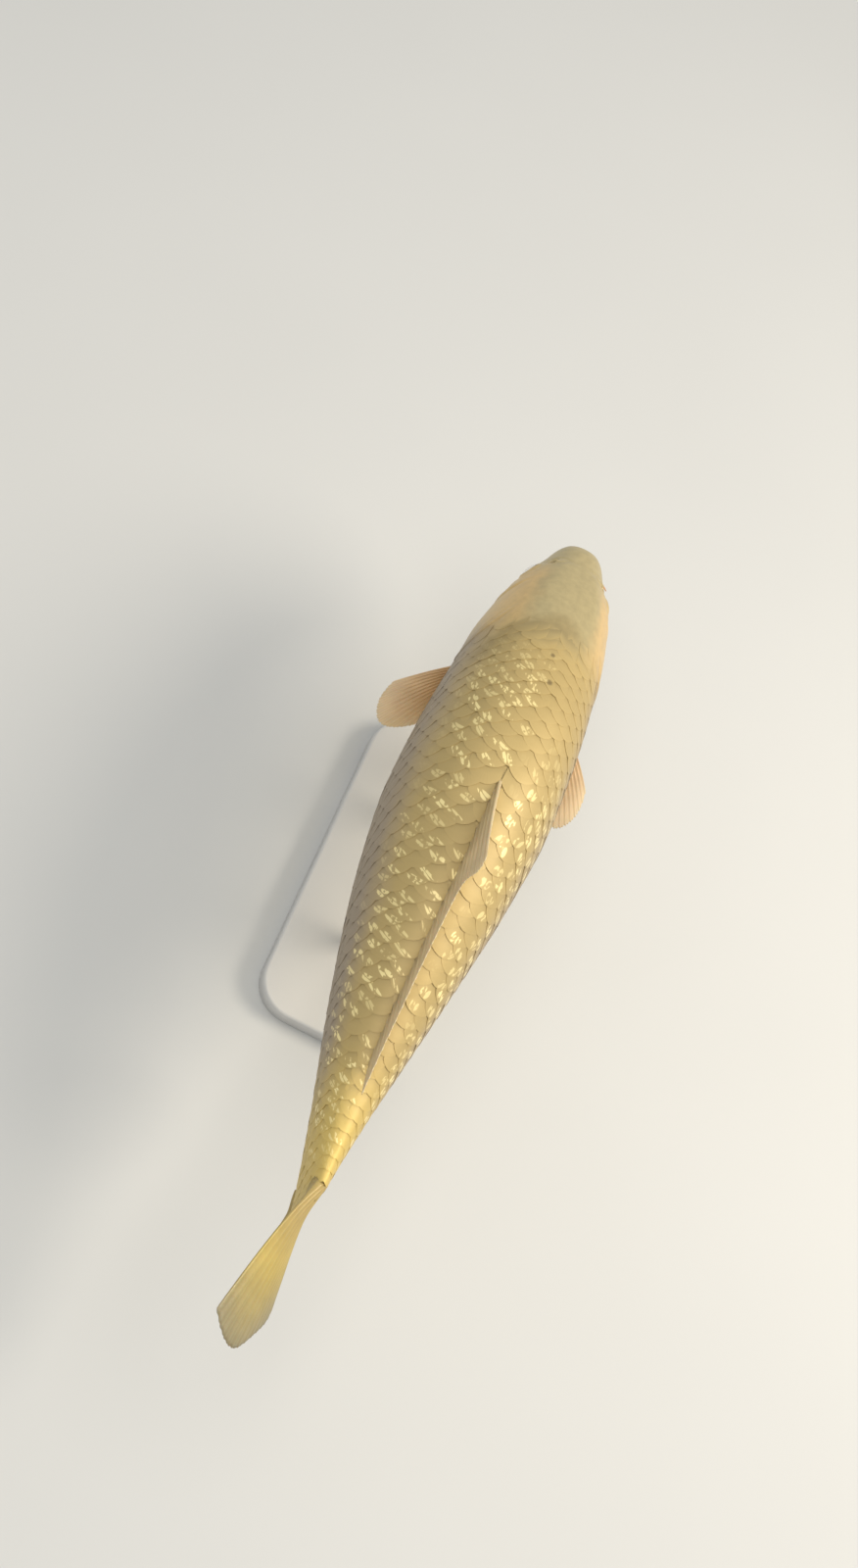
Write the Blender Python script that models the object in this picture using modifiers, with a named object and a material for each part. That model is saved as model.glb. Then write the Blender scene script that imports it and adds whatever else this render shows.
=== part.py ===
"""A life-size koi carp, swimming level with a slight curve in its body, on a plain display stand.

Frame: +X is the way the head points, +Y is the fish's left and +Z is up. The origin is the middle
of the stand's underside. Places on the fish are given as shares of its body length: u runs back
from the nose, y to its left and z up from the body's axis.
"""

import math

import bmesh
import bpy
import numpy as np

# Driving dimensions, in metres.
BODY_LENGTH = 0.505  # from the nose to the root of the tail fin
AXIS_HEIGHT = 0.170  # the body's axis above the floor
GAP = 0.0003  # clearance between pieces that meet

# Places along the body, as shares of its length.
STAND_CENTRE = 0.46
NAPE = 0.165
TAIL_CUT = 0.865
GRIP = 0.006  # how deep a fin's root runs under the surface before it is cut to it

# landmark, u, back height, belly depth, half width, height of the widest line
BODY_PLAN = (
    ("nose tip", -0.004, 0.007, 0.007, 0.009, -0.013),
    ("lips", 0.010, 0.031, 0.029, 0.029, -0.014),
    ("mouth corner", 0.045, 0.052, 0.048, 0.0465, -0.012),
    ("eye", 0.100, 0.078, 0.072, 0.072, -0.007),
    ("nape", 0.175, 0.106, 0.098, 0.0895, -0.002),
    ("gill opening", 0.250, 0.130, 0.120, 0.099, 0.0),
    ("shoulder", 0.340, 0.150, 0.136, 0.107, 0.0),
    ("dorsal fin front", 0.440, 0.158, 0.142, 0.110, 0.0),
    ("belly", 0.560, 0.148, 0.136, 0.099, 0.0),
    ("vent", 0.680, 0.118, 0.112, 0.079, 0.0),
    ("anal fin", 0.800, 0.082, 0.078, 0.055, 0.0),
    ("tail stalk", 0.900, 0.060, 0.058, 0.033, 0.0),
    ("tail root", 1.000, 0.059, 0.059, 0.012, 0.0),
)
NOSE = BODY_PLAN[0][1]
SECTION_POWER = 2.2  # 2 is an ellipse, more is squarer
BEND = (-0.042, -0.025)  # sideways curve of the spine about mid-body: square and cube terms
STATIONS = 32
SECTION_POINTS = 28

# Head.
GILL_CENTRE = (0.110, -0.008)
GILL_RADII = (0.132, 0.098)
GILL_PLATE = (
    (0.136, 0.030),
    (0.150, 0.052),
    (0.180, 0.058),
    (0.260, 0.058),
    (0.260, -0.080),
    (0.185, -0.080),
    (0.155, -0.066),
    (0.138, -0.040),
)
GILL_DEPTH_FROM_AXIS = 0.056
JAW = (
    (-0.030, -0.030),
    (0.018, -0.033),
    (0.043, -0.040),
    (0.064, -0.062),
    (0.090, -0.130),
    (-0.030, -0.130),
)
EYE_AT = (0.082, 0.009)
EYE_RADIUS = 0.0085
EYE_SUNK = 0.0066  # eyeball's centre under the skin

# Stand, in metres.
BASE_SIZE = (0.250, 0.120, 0.016)
BASE_CORNER = 0.028
BASE_EDGE = 0.002
ROD_RADIUS = 0.0055
ROD_PLACES = {"front": 0.36, "rear": 0.56}
ROD_IN_BASE = 0.010
ROD_IN_BODY = 0.015
COLLAR_RADIUS = 0.012
COLLAR_HEIGHT = 0.009


def curve_through(column):
    """A steady curve through one column of the body plan, with no overshoot between landmarks."""
    x = np.array([row[1] for row in BODY_PLAN])
    y = np.array([row[column] for row in BODY_PLAN])
    step = np.diff(x)
    rise = np.diff(y) / step
    slope = np.zeros(len(x))
    slope[0], slope[-1] = rise[0], rise[-1]
    for i in range(1, len(x) - 1):
        if rise[i - 1] * rise[i] > 0:
            before, after = 2 * step[i] + step[i - 1], step[i] + 2 * step[i - 1]
            slope[i] = (before + after) / (before / rise[i - 1] + after / rise[i])

    def value(u):
        u = min(max(u, x[0]), x[-1])
        i = min(int(np.searchsorted(x, u, side="right")) - 1, len(step) - 1)
        h, t = step[i], (u - x[i]) / step[i]
        start = (1 + 2 * t) * (1 - t) ** 2 * y[i] + t * (1 - t) ** 2 * h * slope[i]
        end = t * t * (3 - 2 * t) * y[i + 1] + t * t * (t - 1) * h * slope[i + 1]
        return float(start + end)

    return value


back = curve_through(2)
belly = curve_through(3)
half_width = curve_through(4)
centre = curve_through(5)


def spine(u):
    return BEND[0] * (u - 0.5) ** 2 + BEND[1] * (u - 0.5) ** 3


def place(u, y, z):
    """Metres in the frame, from shares of the body length."""
    return (
        (STAND_CENTRE - u) * BODY_LENGTH,
        (spine(u) + y) * BODY_LENGTH,
        AXIS_HEIGHT + z * BODY_LENGTH,
    )


def side_at(u, z):
    """How far out the skin lies, beside the spine, at this height."""
    rise = z - centre(u)
    height = back(u) if rise > 0 else belly(u)
    share = min(abs(rise) / height, 1.0)
    return half_width(u) * (1 - share**SECTION_POWER) ** (1 / SECTION_POWER)


def underside_at(u, y):
    """The height of the skin of the belly, this far to the side."""
    share = min(abs(y) / half_width(u), 1.0)
    return centre(u) - belly(u) * (1 - share**SECTION_POWER) ** (1 / SECTION_POWER)


def clear_scene():
    for obj in list(bpy.data.objects):
        bpy.data.objects.remove(obj)


def new_collection(name):
    collection = bpy.data.collections.new(name)
    bpy.context.scene.collection.children.link(collection)
    return collection


def finish(name, srgb, roughness, metallic=0.0):
    """A plain finish for one sub-part."""
    material = bpy.data.materials.new(name)
    material.use_nodes = True
    shader = material.node_tree.nodes["Principled BSDF"]
    linear = [c / 12.92 if c <= 0.04045 else ((c + 0.055) / 1.055) ** 2.4 for c in srgb]
    shader.inputs["Base Color"].default_value = (*linear, 1.0)
    shader.inputs["Roughness"].default_value = roughness
    shader.inputs["Metallic"].default_value = metallic
    return material


def new_object(name, bm, material=None):
    """Makes an object of the bmesh: a part if it has a material, and otherwise a cutter."""
    bmesh.ops.recalc_face_normals(bm, faces=bm.faces)
    mesh = bpy.data.meshes.new(name)
    bm.to_mesh(mesh)
    bm.free()
    obj = bpy.data.objects.new(name, mesh)
    if material is None:
        cutters.objects.link(obj)
        obj.hide_render = True
        obj.display_type = "WIRE"
    else:
        koi.objects.link(obj)
        mesh.materials.append(material)
        mesh.shade_smooth()
        mesh.set_sharp_from_angle(angle=math.radians(40))
    return obj


def boolean(obj, operation, cutter):
    modifier = obj.modifiers.new(f"{operation.lower()} {cutter.name}", "BOOLEAN")
    modifier.operation = operation
    modifier.solver = "EXACT"
    modifier.object = cutter


def body_form(name, material=None, grow=0.0):
    """The whole body from nose to tail root as one loft, grown by a clearance where it is a cutter."""
    bm = bmesh.new()
    extra = grow / BODY_LENGTH
    turns = [2 * math.pi * k / SECTION_POINTS for k in range(SECTION_POINTS)]
    rings = []
    for i in range(1, STATIONS + 1):
        u = NOSE + (1 - NOSE) * (i / STATIONS) ** 1.35
        ring = []
        for turn in turns:
            across = math.copysign(abs(math.cos(turn)) ** (2 / SECTION_POWER), math.cos(turn))
            up = math.copysign(abs(math.sin(turn)) ** (2 / SECTION_POWER), math.sin(turn))
            height = (back(u) if up > 0 else belly(u)) + extra
            at_u = u + (extra if i == STATIONS else 0.0)
            ring.append(bm.verts.new(place(at_u, (half_width(u) + extra) * across, centre(u) + height * up)))
        rings.append(ring)
    nose = bm.verts.new(place(NOSE - extra, 0.0, centre(NOSE)))
    for k in range(SECTION_POINTS):
        after = (k + 1) % SECTION_POINTS
        bm.faces.new((nose, rings[0][k], rings[0][after]))
        for fore, aft in zip(rings, rings[1:]):
            bm.faces.new((fore[k], aft[k], aft[after], fore[after]))
    bm.faces.new(rings[-1])
    return new_object(name, bm, material)


def prism(name, outline, low, high):
    """A cutter: an outline of (u, z) carried across the fish from one side distance to another."""
    bm = bmesh.new()
    verts = [bm.verts.new(place(u, 0.0, z)) for u, z in outline]
    for vert in verts:
        vert.co.y = low * BODY_LENGTH
    face = bm.faces.new(verts)
    moved = bmesh.ops.extrude_face_region(bm, geom=[face])["geom"]
    for vert in (item for item in moved if isinstance(item, bmesh.types.BMVert)):
        vert.co.y = high * BODY_LENGTH
    return new_object(name, bm)


def grown_outline(outline, amount):
    """The outline moved out by this much, square to each of its sides. It runs clockwise in (u, z)."""
    count = len(outline)
    grown = []
    for i in range(count):
        before = np.subtract(outline[i], outline[i - 1])
        after = np.subtract(outline[(i + 1) % count], outline[i])
        normals = [np.array((-d[1], d[0])) / np.hypot(*d) for d in (before, after)]
        mitre = (normals[0] + normals[1]) / (1 + normals[0] @ normals[1])
        grown.append(tuple(np.add(outline[i], amount * mitre)))
    return grown


def head_outline(grow=0.0):
    """Straight down at the nape, with the round rear edge of the gill covers standing out behind."""
    radii = [r + grow for r in GILL_RADII]
    edge = NAPE + grow
    turn = math.acos((edge - GILL_CENTRE[0]) / radii[0])
    arc = [
        (
            GILL_CENTRE[0] + radii[0] * math.cos(turn * (1 - k / 8)),
            GILL_CENTRE[1] + radii[1] * math.sin(turn * (1 - k / 8)),
        )
        for k in range(17)
    ]
    return [(-0.05, 0.2), (edge, 0.2), *arc, (edge, -0.2), (-0.05, -0.2)]


def ball(name, radius, at, material=None):
    bm = bmesh.new()
    bmesh.ops.create_uvsphere(bm, u_segments=16, v_segments=10, radius=radius)
    bmesh.ops.translate(bm, verts=bm.verts, vec=at)
    return new_object(name, bm, material)


def cylinder(name, radius, x, y, low, high, material=None):
    bm = bmesh.new()
    bmesh.ops.create_cone(bm, cap_ends=True, segments=24, radius1=radius, radius2=radius, depth=high - low)
    bmesh.ops.translate(bm, verts=bm.verts, vec=(x, y, (low + high) / 2))
    return new_object(name, bm, material)


def fin(name, sheet, rays, material, root, tip, body_space, steps=5):
    """A fin: an open sheet, thick at its root and along its rays, made solid and cut to the body.

    sheet(v, t) gives the place of ray v, from 0 at the front to 1 at the rear, at t along it.
    root and tip are thicknesses in metres.
    """
    bm = bmesh.new()
    rows = []
    across = 2 * rays
    for i in range(across + 1):
        rows.append([bm.verts.new(place(*sheet(i / across, j / steps))) for j in range(steps + 1)])
    for row, after in zip(rows, rows[1:]):
        for j in range(steps):
            bm.faces.new((row[j], row[j + 1], after[j + 1], after[j]))
    obj = new_object(name, bm, material)
    group = obj.vertex_groups.new(name="thickness")
    for i in range(across + 1):
        for j in range(steps + 1):
            between_rays = 0.7 if i % 2 else 1.0
            front_ray = 1.0 if i == 0 else 0.75
            taper = 1 + (tip / root - 1) * (j / steps) ** 0.8
            share = max(taper * between_rays * front_ray, 0.6 * tip / root)
            group.add([i * (steps + 1) + j], share, "REPLACE")
    solid = obj.modifiers.new("thickness", "SOLIDIFY")
    solid.thickness = root
    solid.offset = 0.0
    solid.vertex_group = group.name
    boolean(obj, "DIFFERENCE", body_space)
    return obj


def dorsal_sheet(v, t):
    """Part-raised: a tall front lobe, then an even low edge. It leans a little to the fish's right."""
    u = 0.446 + 0.384 * v
    length = 0.060 + 0.100 * math.exp(-((v / 0.195) ** 2)) + 0.014 * (1 - v)
    rise = math.radians(31 - 8 * v)
    z = back(u) - GRIP
    out = t * length
    return u + out * math.cos(rise), -0.21 * out * out, z + out * math.sin(rise)


def anal_sheet(v, t):
    """Short-based, with a long stiff front ray, and half folded back under the tail stalk."""
    u = 0.765 + 0.070 * v
    length = 0.105 - 0.048 * v**0.8
    dip = math.radians(42 - 12 * v)
    z = -belly(u) + GRIP
    return u + t * length * math.cos(dip), 0.0, z - t * length * math.sin(dip)


def pectoral_sheet(side, spread, reach):
    """A round paddle held out from the lower flank just behind the gill cover, tipped down and back."""

    def sheet(v, t):
        u, z = 0.222 + 0.018 * v, -0.056 - 0.034 * v
        length = reach * (0.100 + 0.040 * math.sin(math.pi * v / 0.9) - 0.035 * v * v)
        out = math.radians(spread - 38 * v)
        dip = math.radians(14 + 14 * t + 6 * v)
        y = side_at(u, z) - GRIP
        return (
            u + t * length * math.cos(dip) * math.cos(out),
            side * (y + t * length * math.cos(dip) * math.sin(out)),
            z - t * length * math.sin(dip),
        )

    return sheet


def pelvic_sheet(side):
    """Set low on the belly under the dorsal fin's front, and folded in along it."""

    def sheet(v, t):
        u, y = 0.452 + 0.026 * v, 0.038 - 0.012 * v
        length = 0.100 + 0.020 * math.sin(math.pi * v / 0.8)
        out = math.radians(9 - 8 * v)
        dip = math.radians(17)
        return (
            u + t * length * math.cos(dip) * math.cos(out),
            side * (y + t * length * math.cos(dip) * math.sin(out)),
            underside_at(u, y) + GRIP - t * length * math.sin(dip),
        )

    return sheet


def tail_sheet(v, t):
    """Forked, with round-ended lobes. Mid-beat, both lobes trail to the left, the upper one more."""
    lobe = 2 * v - 1
    reach = abs(lobe)
    upper = lobe > 0
    fuller, rounder = (0.118, 0.066) if upper else (0.086, 0.088)
    length = 0.140 + fuller * reach - rounder * (max(reach - 0.60, 0) / 0.40) ** 2
    root_height = 0.055 * lobe
    end_height = (0.094 if upper else 0.095) * math.copysign(reach**1.1, lobe)
    end_side = -0.003 + (0.080 if upper else 0.043) * reach**1.8
    swing = 1.3 - (0.45 * reach if upper else 0.0)
    return (
        0.99 + t * (length + 0.01),
        end_side * t**swing,
        root_height + (end_height - root_height) * t**0.9,
    )


def barbel(name, points, thick, material, body_space):
    """A feeler: a tapered tube through its points, as a mesh so that its root can be cut to the lip."""
    curve = bpy.data.curves.new(name, "CURVE")
    curve.dimensions = "3D"
    curve.bevel_depth = thick
    curve.bevel_resolution = 2
    curve.use_fill_caps = True
    spline = curve.splines.new("POLY")
    count = 7
    spline.points.add(count - 1)
    ends = [np.array(point) for point in points]
    for i, point in enumerate(spline.points):
        t = i / (count - 1)
        at = (1 - t) ** 2 * ends[0] + 2 * t * (1 - t) * ends[1] + t * t * ends[2]
        point.co = (*place(*at), 1.0)
        point.radius = 1 - 0.55 * t
    drawn = bpy.data.objects.new(name + " route", curve)
    koi.objects.link(drawn)
    bpy.context.view_layer.update()
    mesh = bpy.data.meshes.new_from_object(drawn.evaluated_get(bpy.context.evaluated_depsgraph_get()))
    bpy.data.objects.remove(drawn)
    bm = bmesh.new()
    bm.from_mesh(mesh)
    bmesh.ops.remove_doubles(bm, verts=bm.verts, dist=1e-6)
    bpy.data.meshes.remove(mesh)
    obj = new_object(name, bm, material)
    boolean(obj, "DIFFERENCE", body_space)


def make_body():
    gap = GAP / BODY_LENGTH
    wide = 0.3
    gold = finish("scaled skin gold", (0.74, 0.64, 0.41), 0.35, 0.6)
    head_gold = finish("head skin gold", (0.76, 0.68, 0.49), 0.38, 0.4)
    cheek = finish("gill cover gold", (0.80, 0.69, 0.44), 0.30, 0.6)
    lip = finish("lip", (0.78, 0.70, 0.52), 0.45)
    stalk = finish("tail stalk gold", (0.78, 0.70, 0.46), 0.35, 0.5)

    head_space = prism("head space", head_outline(), -wide, wide)
    head_clearance = prism("head clearance", head_outline(gap), -wide, wide)
    jaw_space = prism("jaw space", JAW, -wide, wide)
    jaw_clearance = prism("jaw clearance", grown_outline(JAW, gap), -wide, wide)
    tail_box = [(TAIL_CUT, 0.2), (1.2, 0.2), (1.2, -0.2), (TAIL_CUT, -0.2)]
    tail_space = prism("tail space", tail_box, -wide, wide)
    tail_clearance = prism("tail clearance", grown_outline(tail_box, gap), -wide, wide)

    head = body_form("head", head_gold)
    boolean(head, "INTERSECT", head_space)
    boolean(head, "DIFFERENCE", jaw_clearance)
    jaw = body_form("lower_jaw", lip)
    boolean(jaw, "INTERSECT", jaw_space)
    trunk = body_form("trunk", gold)
    boolean(trunk, "DIFFERENCE", head_clearance)
    boolean(trunk, "DIFFERENCE", tail_clearance)
    tail_stalk = body_form("tail_stalk", stalk)
    boolean(tail_stalk, "INTERSECT", tail_space)

    for side, word in ((1, "left"), (-1, "right")):
        near, far = side * GILL_DEPTH_FROM_AXIS, side * wide
        plate_space = prism(f"gill space {word}", GILL_PLATE, near, far)
        clearance = prism(f"gill clearance {word}", grown_outline(GILL_PLATE, gap), near - side * gap, far)
        boolean(head, "DIFFERENCE", clearance)
        cover = body_form(f"gill_cover_{word}", cheek)
        boolean(cover, "INTERSECT", head_space)
        boolean(cover, "INTERSECT", plate_space)
    return head, trunk


def make_eyes(head):
    dark = finish("eye", (0.10, 0.08, 0.06), 0.08)
    u, z = EYE_AT
    for side, word in ((1, "left"), (-1, "right")):
        at = place(u, side * (side_at(u, z) - EYE_SUNK / BODY_LENGTH), z)
        ball(f"eye_{word}", EYE_RADIUS, at, dark)
        boolean(head, "DIFFERENCE", ball(f"eye socket {word}", EYE_RADIUS + GAP, at))


def make_barbels(body_space):
    """A short pair on the upper lip and a longer pair at the mouth's corners."""
    flesh = finish("barbel", (0.78, 0.62, 0.42), 0.5)
    droop = {"left": 0.010, "right": 0.0}
    for side, word in ((1, "left"), (-1, "right")):
        low = droop[word]
        front = (
            (0.014, side * 0.026, -0.030),
            (0.010 + low, side * (0.046 - 1.6 * low), -0.036 - low),
            (0.014 + 2.4 * low, side * (0.060 - 3.4 * low), -0.048 - 1.4 * low),
        )
        corner = (
            (0.043, side * 0.044, -0.036),
            (0.050 + 0.8 * low, side * (0.064 - 2.4 * low), -0.048 - 0.6 * low),
            (0.066 + 1.6 * low, side * (0.068 - 2.8 * low), -0.074 - 0.2 * low),
        )
        barbel(f"barbel_front_{word}", front, 0.0010, flesh, body_space)
        barbel(f"barbel_corner_{word}", corner, 0.0014, flesh, body_space)


def make_fins(body_space):
    olive = finish("dorsal fin", (0.60, 0.53, 0.38), 0.45, 0.2)
    peach = finish("paired fin", (0.76, 0.62, 0.42), 0.45, 0.2)
    cream = finish("tail fin", (0.82, 0.76, 0.50), 0.42, 0.2)
    fin("dorsal_fin", dorsal_sheet, 15, olive, 0.0030, 0.0010, body_space)
    fin("anal_fin", anal_sheet, 7, peach, 0.0028, 0.0009, body_space)
    fin("tail_fin", tail_sheet, 15, cream, 0.0044, 0.0009, body_space, steps=6)
    for side, word, spread, reach in ((1, "left", 55, 0.98), (-1, "right", 55, 1.14)):
        paddle = pectoral_sheet(side, spread, reach)
        fin(f"pectoral_fin_{word}", paddle, 9, peach, 0.0030, 0.0009, body_space)
        fin(f"pelvic_fin_{word}", pelvic_sheet(side), 6, peach, 0.0028, 0.0009, body_space)


def make_stand(trunk):
    stone = finish("stand base", (0.86, 0.85, 0.83), 0.45)
    steel = finish("stand rod", (0.72, 0.72, 0.71), 0.28, 1.0)
    ring = finish("stand collar", (0.66, 0.66, 0.65), 0.30, 1.0)

    bm = bmesh.new()
    bmesh.ops.create_cube(bm, size=1.0)
    bmesh.ops.scale(bm, vec=BASE_SIZE, verts=bm.verts)
    bmesh.ops.translate(bm, vec=(0, 0, BASE_SIZE[2] / 2), verts=bm.verts)
    upright = [e for e in bm.edges if abs(e.verts[0].co.z - e.verts[1].co.z) > 0.5 * BASE_SIZE[2]]
    bmesh.ops.bevel(bm, geom=upright, offset=BASE_CORNER, segments=5, profile=0.5, affect="EDGES")
    base = new_object("stand_base", bm, stone)
    edge = base.modifiers.new("rounded edge", "BEVEL")
    edge.width = BASE_EDGE
    edge.segments = 2
    edge.limit_method = "ANGLE"
    edge.angle_limit = math.radians(60)

    top = BASE_SIZE[2]
    for word, u in ROD_PLACES.items():
        x, y, skin = place(u, 0.0, -belly(u))
        low, high = top - ROD_IN_BASE, skin + ROD_IN_BODY
        cylinder(f"stand_rod_{word}", ROD_RADIUS, x, y, low, high, steel)
        socket = cylinder(f"socket {word}", ROD_RADIUS + GAP, x, y, skin - 0.02, high + GAP)
        boolean(trunk, "DIFFERENCE", socket)
        bore = cylinder(f"bore {word}", ROD_RADIUS + GAP, x, y, low - GAP, top + 0.01)
        boolean(base, "DIFFERENCE", bore)

        inner, foot = ROD_RADIUS + GAP, top + GAP
        outline = (
            (COLLAR_RADIUS * 0.78, COLLAR_HEIGHT),
            (COLLAR_RADIUS * 0.84, COLLAR_HEIGHT * 0.8),
            (COLLAR_RADIUS, COLLAR_HEIGHT * 0.2),
            (COLLAR_RADIUS, 0.0),
            (inner, 0.0),
            (inner, COLLAR_HEIGHT),
        )
        bm = bmesh.new()
        verts = [bm.verts.new((radius, 0.0, height)) for radius, height in outline]
        for a, b in zip(verts, verts[1:] + verts[:1]):
            bm.edges.new((a, b))
        collar = new_object(f"stand_collar_{word}", bm, ring)
        collar.location = (x, y, foot)
        turned = collar.modifiers.new("turned", "SCREW")
        turned.steps = 24
        turned.render_steps = 24
        turned.use_merge_vertices = True
        turned.merge_threshold = 0.0001


clear_scene()
koi = new_collection("koi carp on stand")
cutters = new_collection("cutters")
cutters.hide_render = True
body_clearance = body_form("body clearance", grow=GAP)
head_part, trunk_part = make_body()
make_eyes(head_part)
make_barbels(body_clearance)
make_fins(body_clearance)
make_stand(trunk_part)
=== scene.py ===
"""A life-size golden koi carp with netted scales, as a still model on a plain display stand.

Frame: +X is the way the head points, +Y is the fish's left and +Z is up, in metres. Places on the fish
are given as shares of its body length: u runs back from the nose, y to its left from the spine and
z up from the body's axis. A turn goes round the body from its left side (0) over the back (90 degrees).
"""

import math

import bmesh
import bpy
import numpy as np
from bpy.props import FloatProperty, FloatVectorProperty, IntProperty, PointerProperty
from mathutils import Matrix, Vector


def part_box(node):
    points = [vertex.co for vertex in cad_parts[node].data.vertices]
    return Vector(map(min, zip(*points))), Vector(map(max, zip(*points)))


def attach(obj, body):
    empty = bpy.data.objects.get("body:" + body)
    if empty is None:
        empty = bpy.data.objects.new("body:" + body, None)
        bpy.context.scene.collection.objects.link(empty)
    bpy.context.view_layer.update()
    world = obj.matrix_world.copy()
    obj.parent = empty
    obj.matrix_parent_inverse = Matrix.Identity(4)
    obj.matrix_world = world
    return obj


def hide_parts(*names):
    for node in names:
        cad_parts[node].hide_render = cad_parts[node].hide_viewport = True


bl_info = {
    "name": "Koi carp display model",
    "version": (1, 0, 0),
    "blender": (4, 5, 0),
    "location": "View3D > Sidebar > Koi",
    "description": "Builds a golden koi carp with netted scales on a display stand",
    "category": "Add Mesh",
}

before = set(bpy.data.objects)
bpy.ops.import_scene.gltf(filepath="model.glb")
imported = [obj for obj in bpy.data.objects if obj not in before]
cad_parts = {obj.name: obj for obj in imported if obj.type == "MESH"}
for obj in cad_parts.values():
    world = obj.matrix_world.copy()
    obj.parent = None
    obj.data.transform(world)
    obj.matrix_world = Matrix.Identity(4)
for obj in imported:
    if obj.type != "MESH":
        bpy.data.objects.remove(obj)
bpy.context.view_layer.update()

# The body's driving sizes, as in the part's source.
BODY_LENGTH = 0.505
AXIS_HEIGHT = 0.170
STAND_CENTRE = 0.46
NAPE = 0.165
GRIP = 0.006  # how deep a fin's root runs under the skin
SECTION_POWER = 2.2
BEND = (-0.042, -0.025)
# landmark, u, back height, belly depth, half width, height of the widest line
BODY_PLAN = (
    ("nose tip", -0.004, 0.007, 0.007, 0.009, -0.013),
    ("lips", 0.010, 0.031, 0.029, 0.029, -0.014),
    ("mouth corner", 0.045, 0.052, 0.048, 0.0465, -0.012),
    ("eye", 0.100, 0.078, 0.072, 0.072, -0.007),
    ("nape", 0.175, 0.106, 0.098, 0.0895, -0.002),
    ("gill opening", 0.250, 0.130, 0.120, 0.099, 0.0),
    ("shoulder", 0.340, 0.150, 0.136, 0.107, 0.0),
    ("dorsal fin front", 0.440, 0.158, 0.142, 0.110, 0.0),
    ("belly", 0.560, 0.148, 0.136, 0.099, 0.0),
    ("vent", 0.680, 0.118, 0.112, 0.079, 0.0),
    ("anal fin", 0.800, 0.082, 0.078, 0.055, 0.0),
    ("tail stalk", 0.900, 0.060, 0.058, 0.033, 0.0),
    ("tail root", 1.000, 0.059, 0.059, 0.012, 0.0),
)
NOSE = BODY_PLAN[0][1]
DORSAL_FRONT = 0.455
DORSAL_REAR = 0.838
GILL_CENTRE = (0.110, -0.008)
GILL_RADII = (0.132, 0.098)
EYE_AT = (0.082, 0.009)
EYE_RADIUS = 0.0085
EYE_SUNK = 0.0066  # eyeball's centre under the skin
NOSTRIL_AT = (0.060, 0.034)
NOSTRIL_PITS = ((-0.0030, 0.0018, 0.0009), (0.0012, 0.0017, 0.0011))  # how far back, how deep, radius
PAST_RIDGE = 0.9  # radians that each side's map of scales runs on past the ridge and the keel
MAP_HEIGHT = 0.36  # metres of skin that fill the map's height
SIDES = ((1, "left"), (-1, "right"))
FULL_TURN = 2 * math.pi
COLOUR_MIX = {"data_type": "RGBA", "out": 2}  # a Mix node of colours: 0 is the share, 6 and 7 the colours


# ---------------- colours and nodes


def linear(srgb):
    """The linear colour of an sRGB hex value."""
    parts = [int(srgb[i : i + 2], 16) / 255 for i in (1, 3, 5)]
    return tuple(c / 12.92 if c <= 0.04045 else ((c + 0.055) / 1.055) ** 2.4 for c in parts)


def rgba(colour):
    """A colour with its alpha, from an sRGB hex value, a grey level or three linear parts."""
    if isinstance(colour, float):
        return (colour, colour, colour, 1.0)
    return (*(linear(colour) if isinstance(colour, str) else colour), 1.0)


def add(tree, kind, *inputs, out=0, stops=(), **settings):
    """Adds a node with its settings, a ramp's stops and its inputs, and returns one of its outputs.

    The inputs are values or other nodes' outputs, in order or in a dict by name. A kind in capitals is
    the operation of a Math node.
    """
    if kind.isupper():
        kind, settings["operation"] = "Math", kind
    node = tree.nodes.new(kind if "Node" in kind else "ShaderNode" + kind)
    for name, value in settings.items():
        setattr(node, name, value)
    if stops:
        ramp = node.color_ramp.elements
        while len(ramp) < len(stops):
            ramp.new(0.5)
        for element, (position, colour) in zip(ramp, stops):
            element.position, element.color = position, rgba(colour)
    named = inputs[0] if inputs and isinstance(inputs[0], dict) else dict(enumerate(inputs))
    for name, value in named.items():
        socket = node.inputs[name]
        if isinstance(value, bpy.types.NodeSocket):
            tree.links.new(value, socket)
        else:
            socket.default_value = rgba(value) if socket.type == "RGBA" else value
    return node.outputs[out] if node.outputs else node


def past(tree, *limits, most=1.0):
    """A level that is most where every value is past its (value, low, high), and falls smoothly to none."""
    for limit in limits:
        most = add(tree, "MULTIPLY", add(tree, "MapRange", *limit, interpolation_type="SMOOTHSTEP"), most)
    return most


def new_material(name):
    """An empty material and its node tree."""
    material = bpy.data.materials.new(name)
    material.use_nodes = True
    material.node_tree.nodes.clear()
    return material, material.node_tree


# ---------------- the body's form


def curve_through(column):
    """A steady curve through one column of the body plan, with no overshoot between landmarks."""
    x, y = (np.array([row[i] for row in BODY_PLAN]) for i in (1, column))
    step = np.diff(x)
    rise = np.diff(y) / step
    slope = np.zeros(len(x))
    slope[0], slope[-1] = rise[0], rise[-1]
    for i in range(1, len(x) - 1):
        if rise[i - 1] * rise[i] > 0:
            before, after = 2 * step[i] + step[i - 1], step[i] + 2 * step[i - 1]
            slope[i] = (before + after) / (before / rise[i - 1] + after / rise[i])

    def value(u):
        u = np.clip(u, x[0], x[-1])
        i = np.clip(np.searchsorted(x, u, side="right") - 1, 0, len(step) - 1)
        h, t = step[i], (u - x[i]) / step[i]
        start = (1 + 2 * t) * (1 - t) ** 2 * y[i] + t * (1 - t) ** 2 * h * slope[i]
        end = t * t * (3 - 2 * t) * y[i + 1] + t * t * (t - 1) * h * slope[i + 1]
        return start + end

    return value


back, belly, half_width, centre = map(curve_through, (2, 3, 4, 5))


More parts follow.
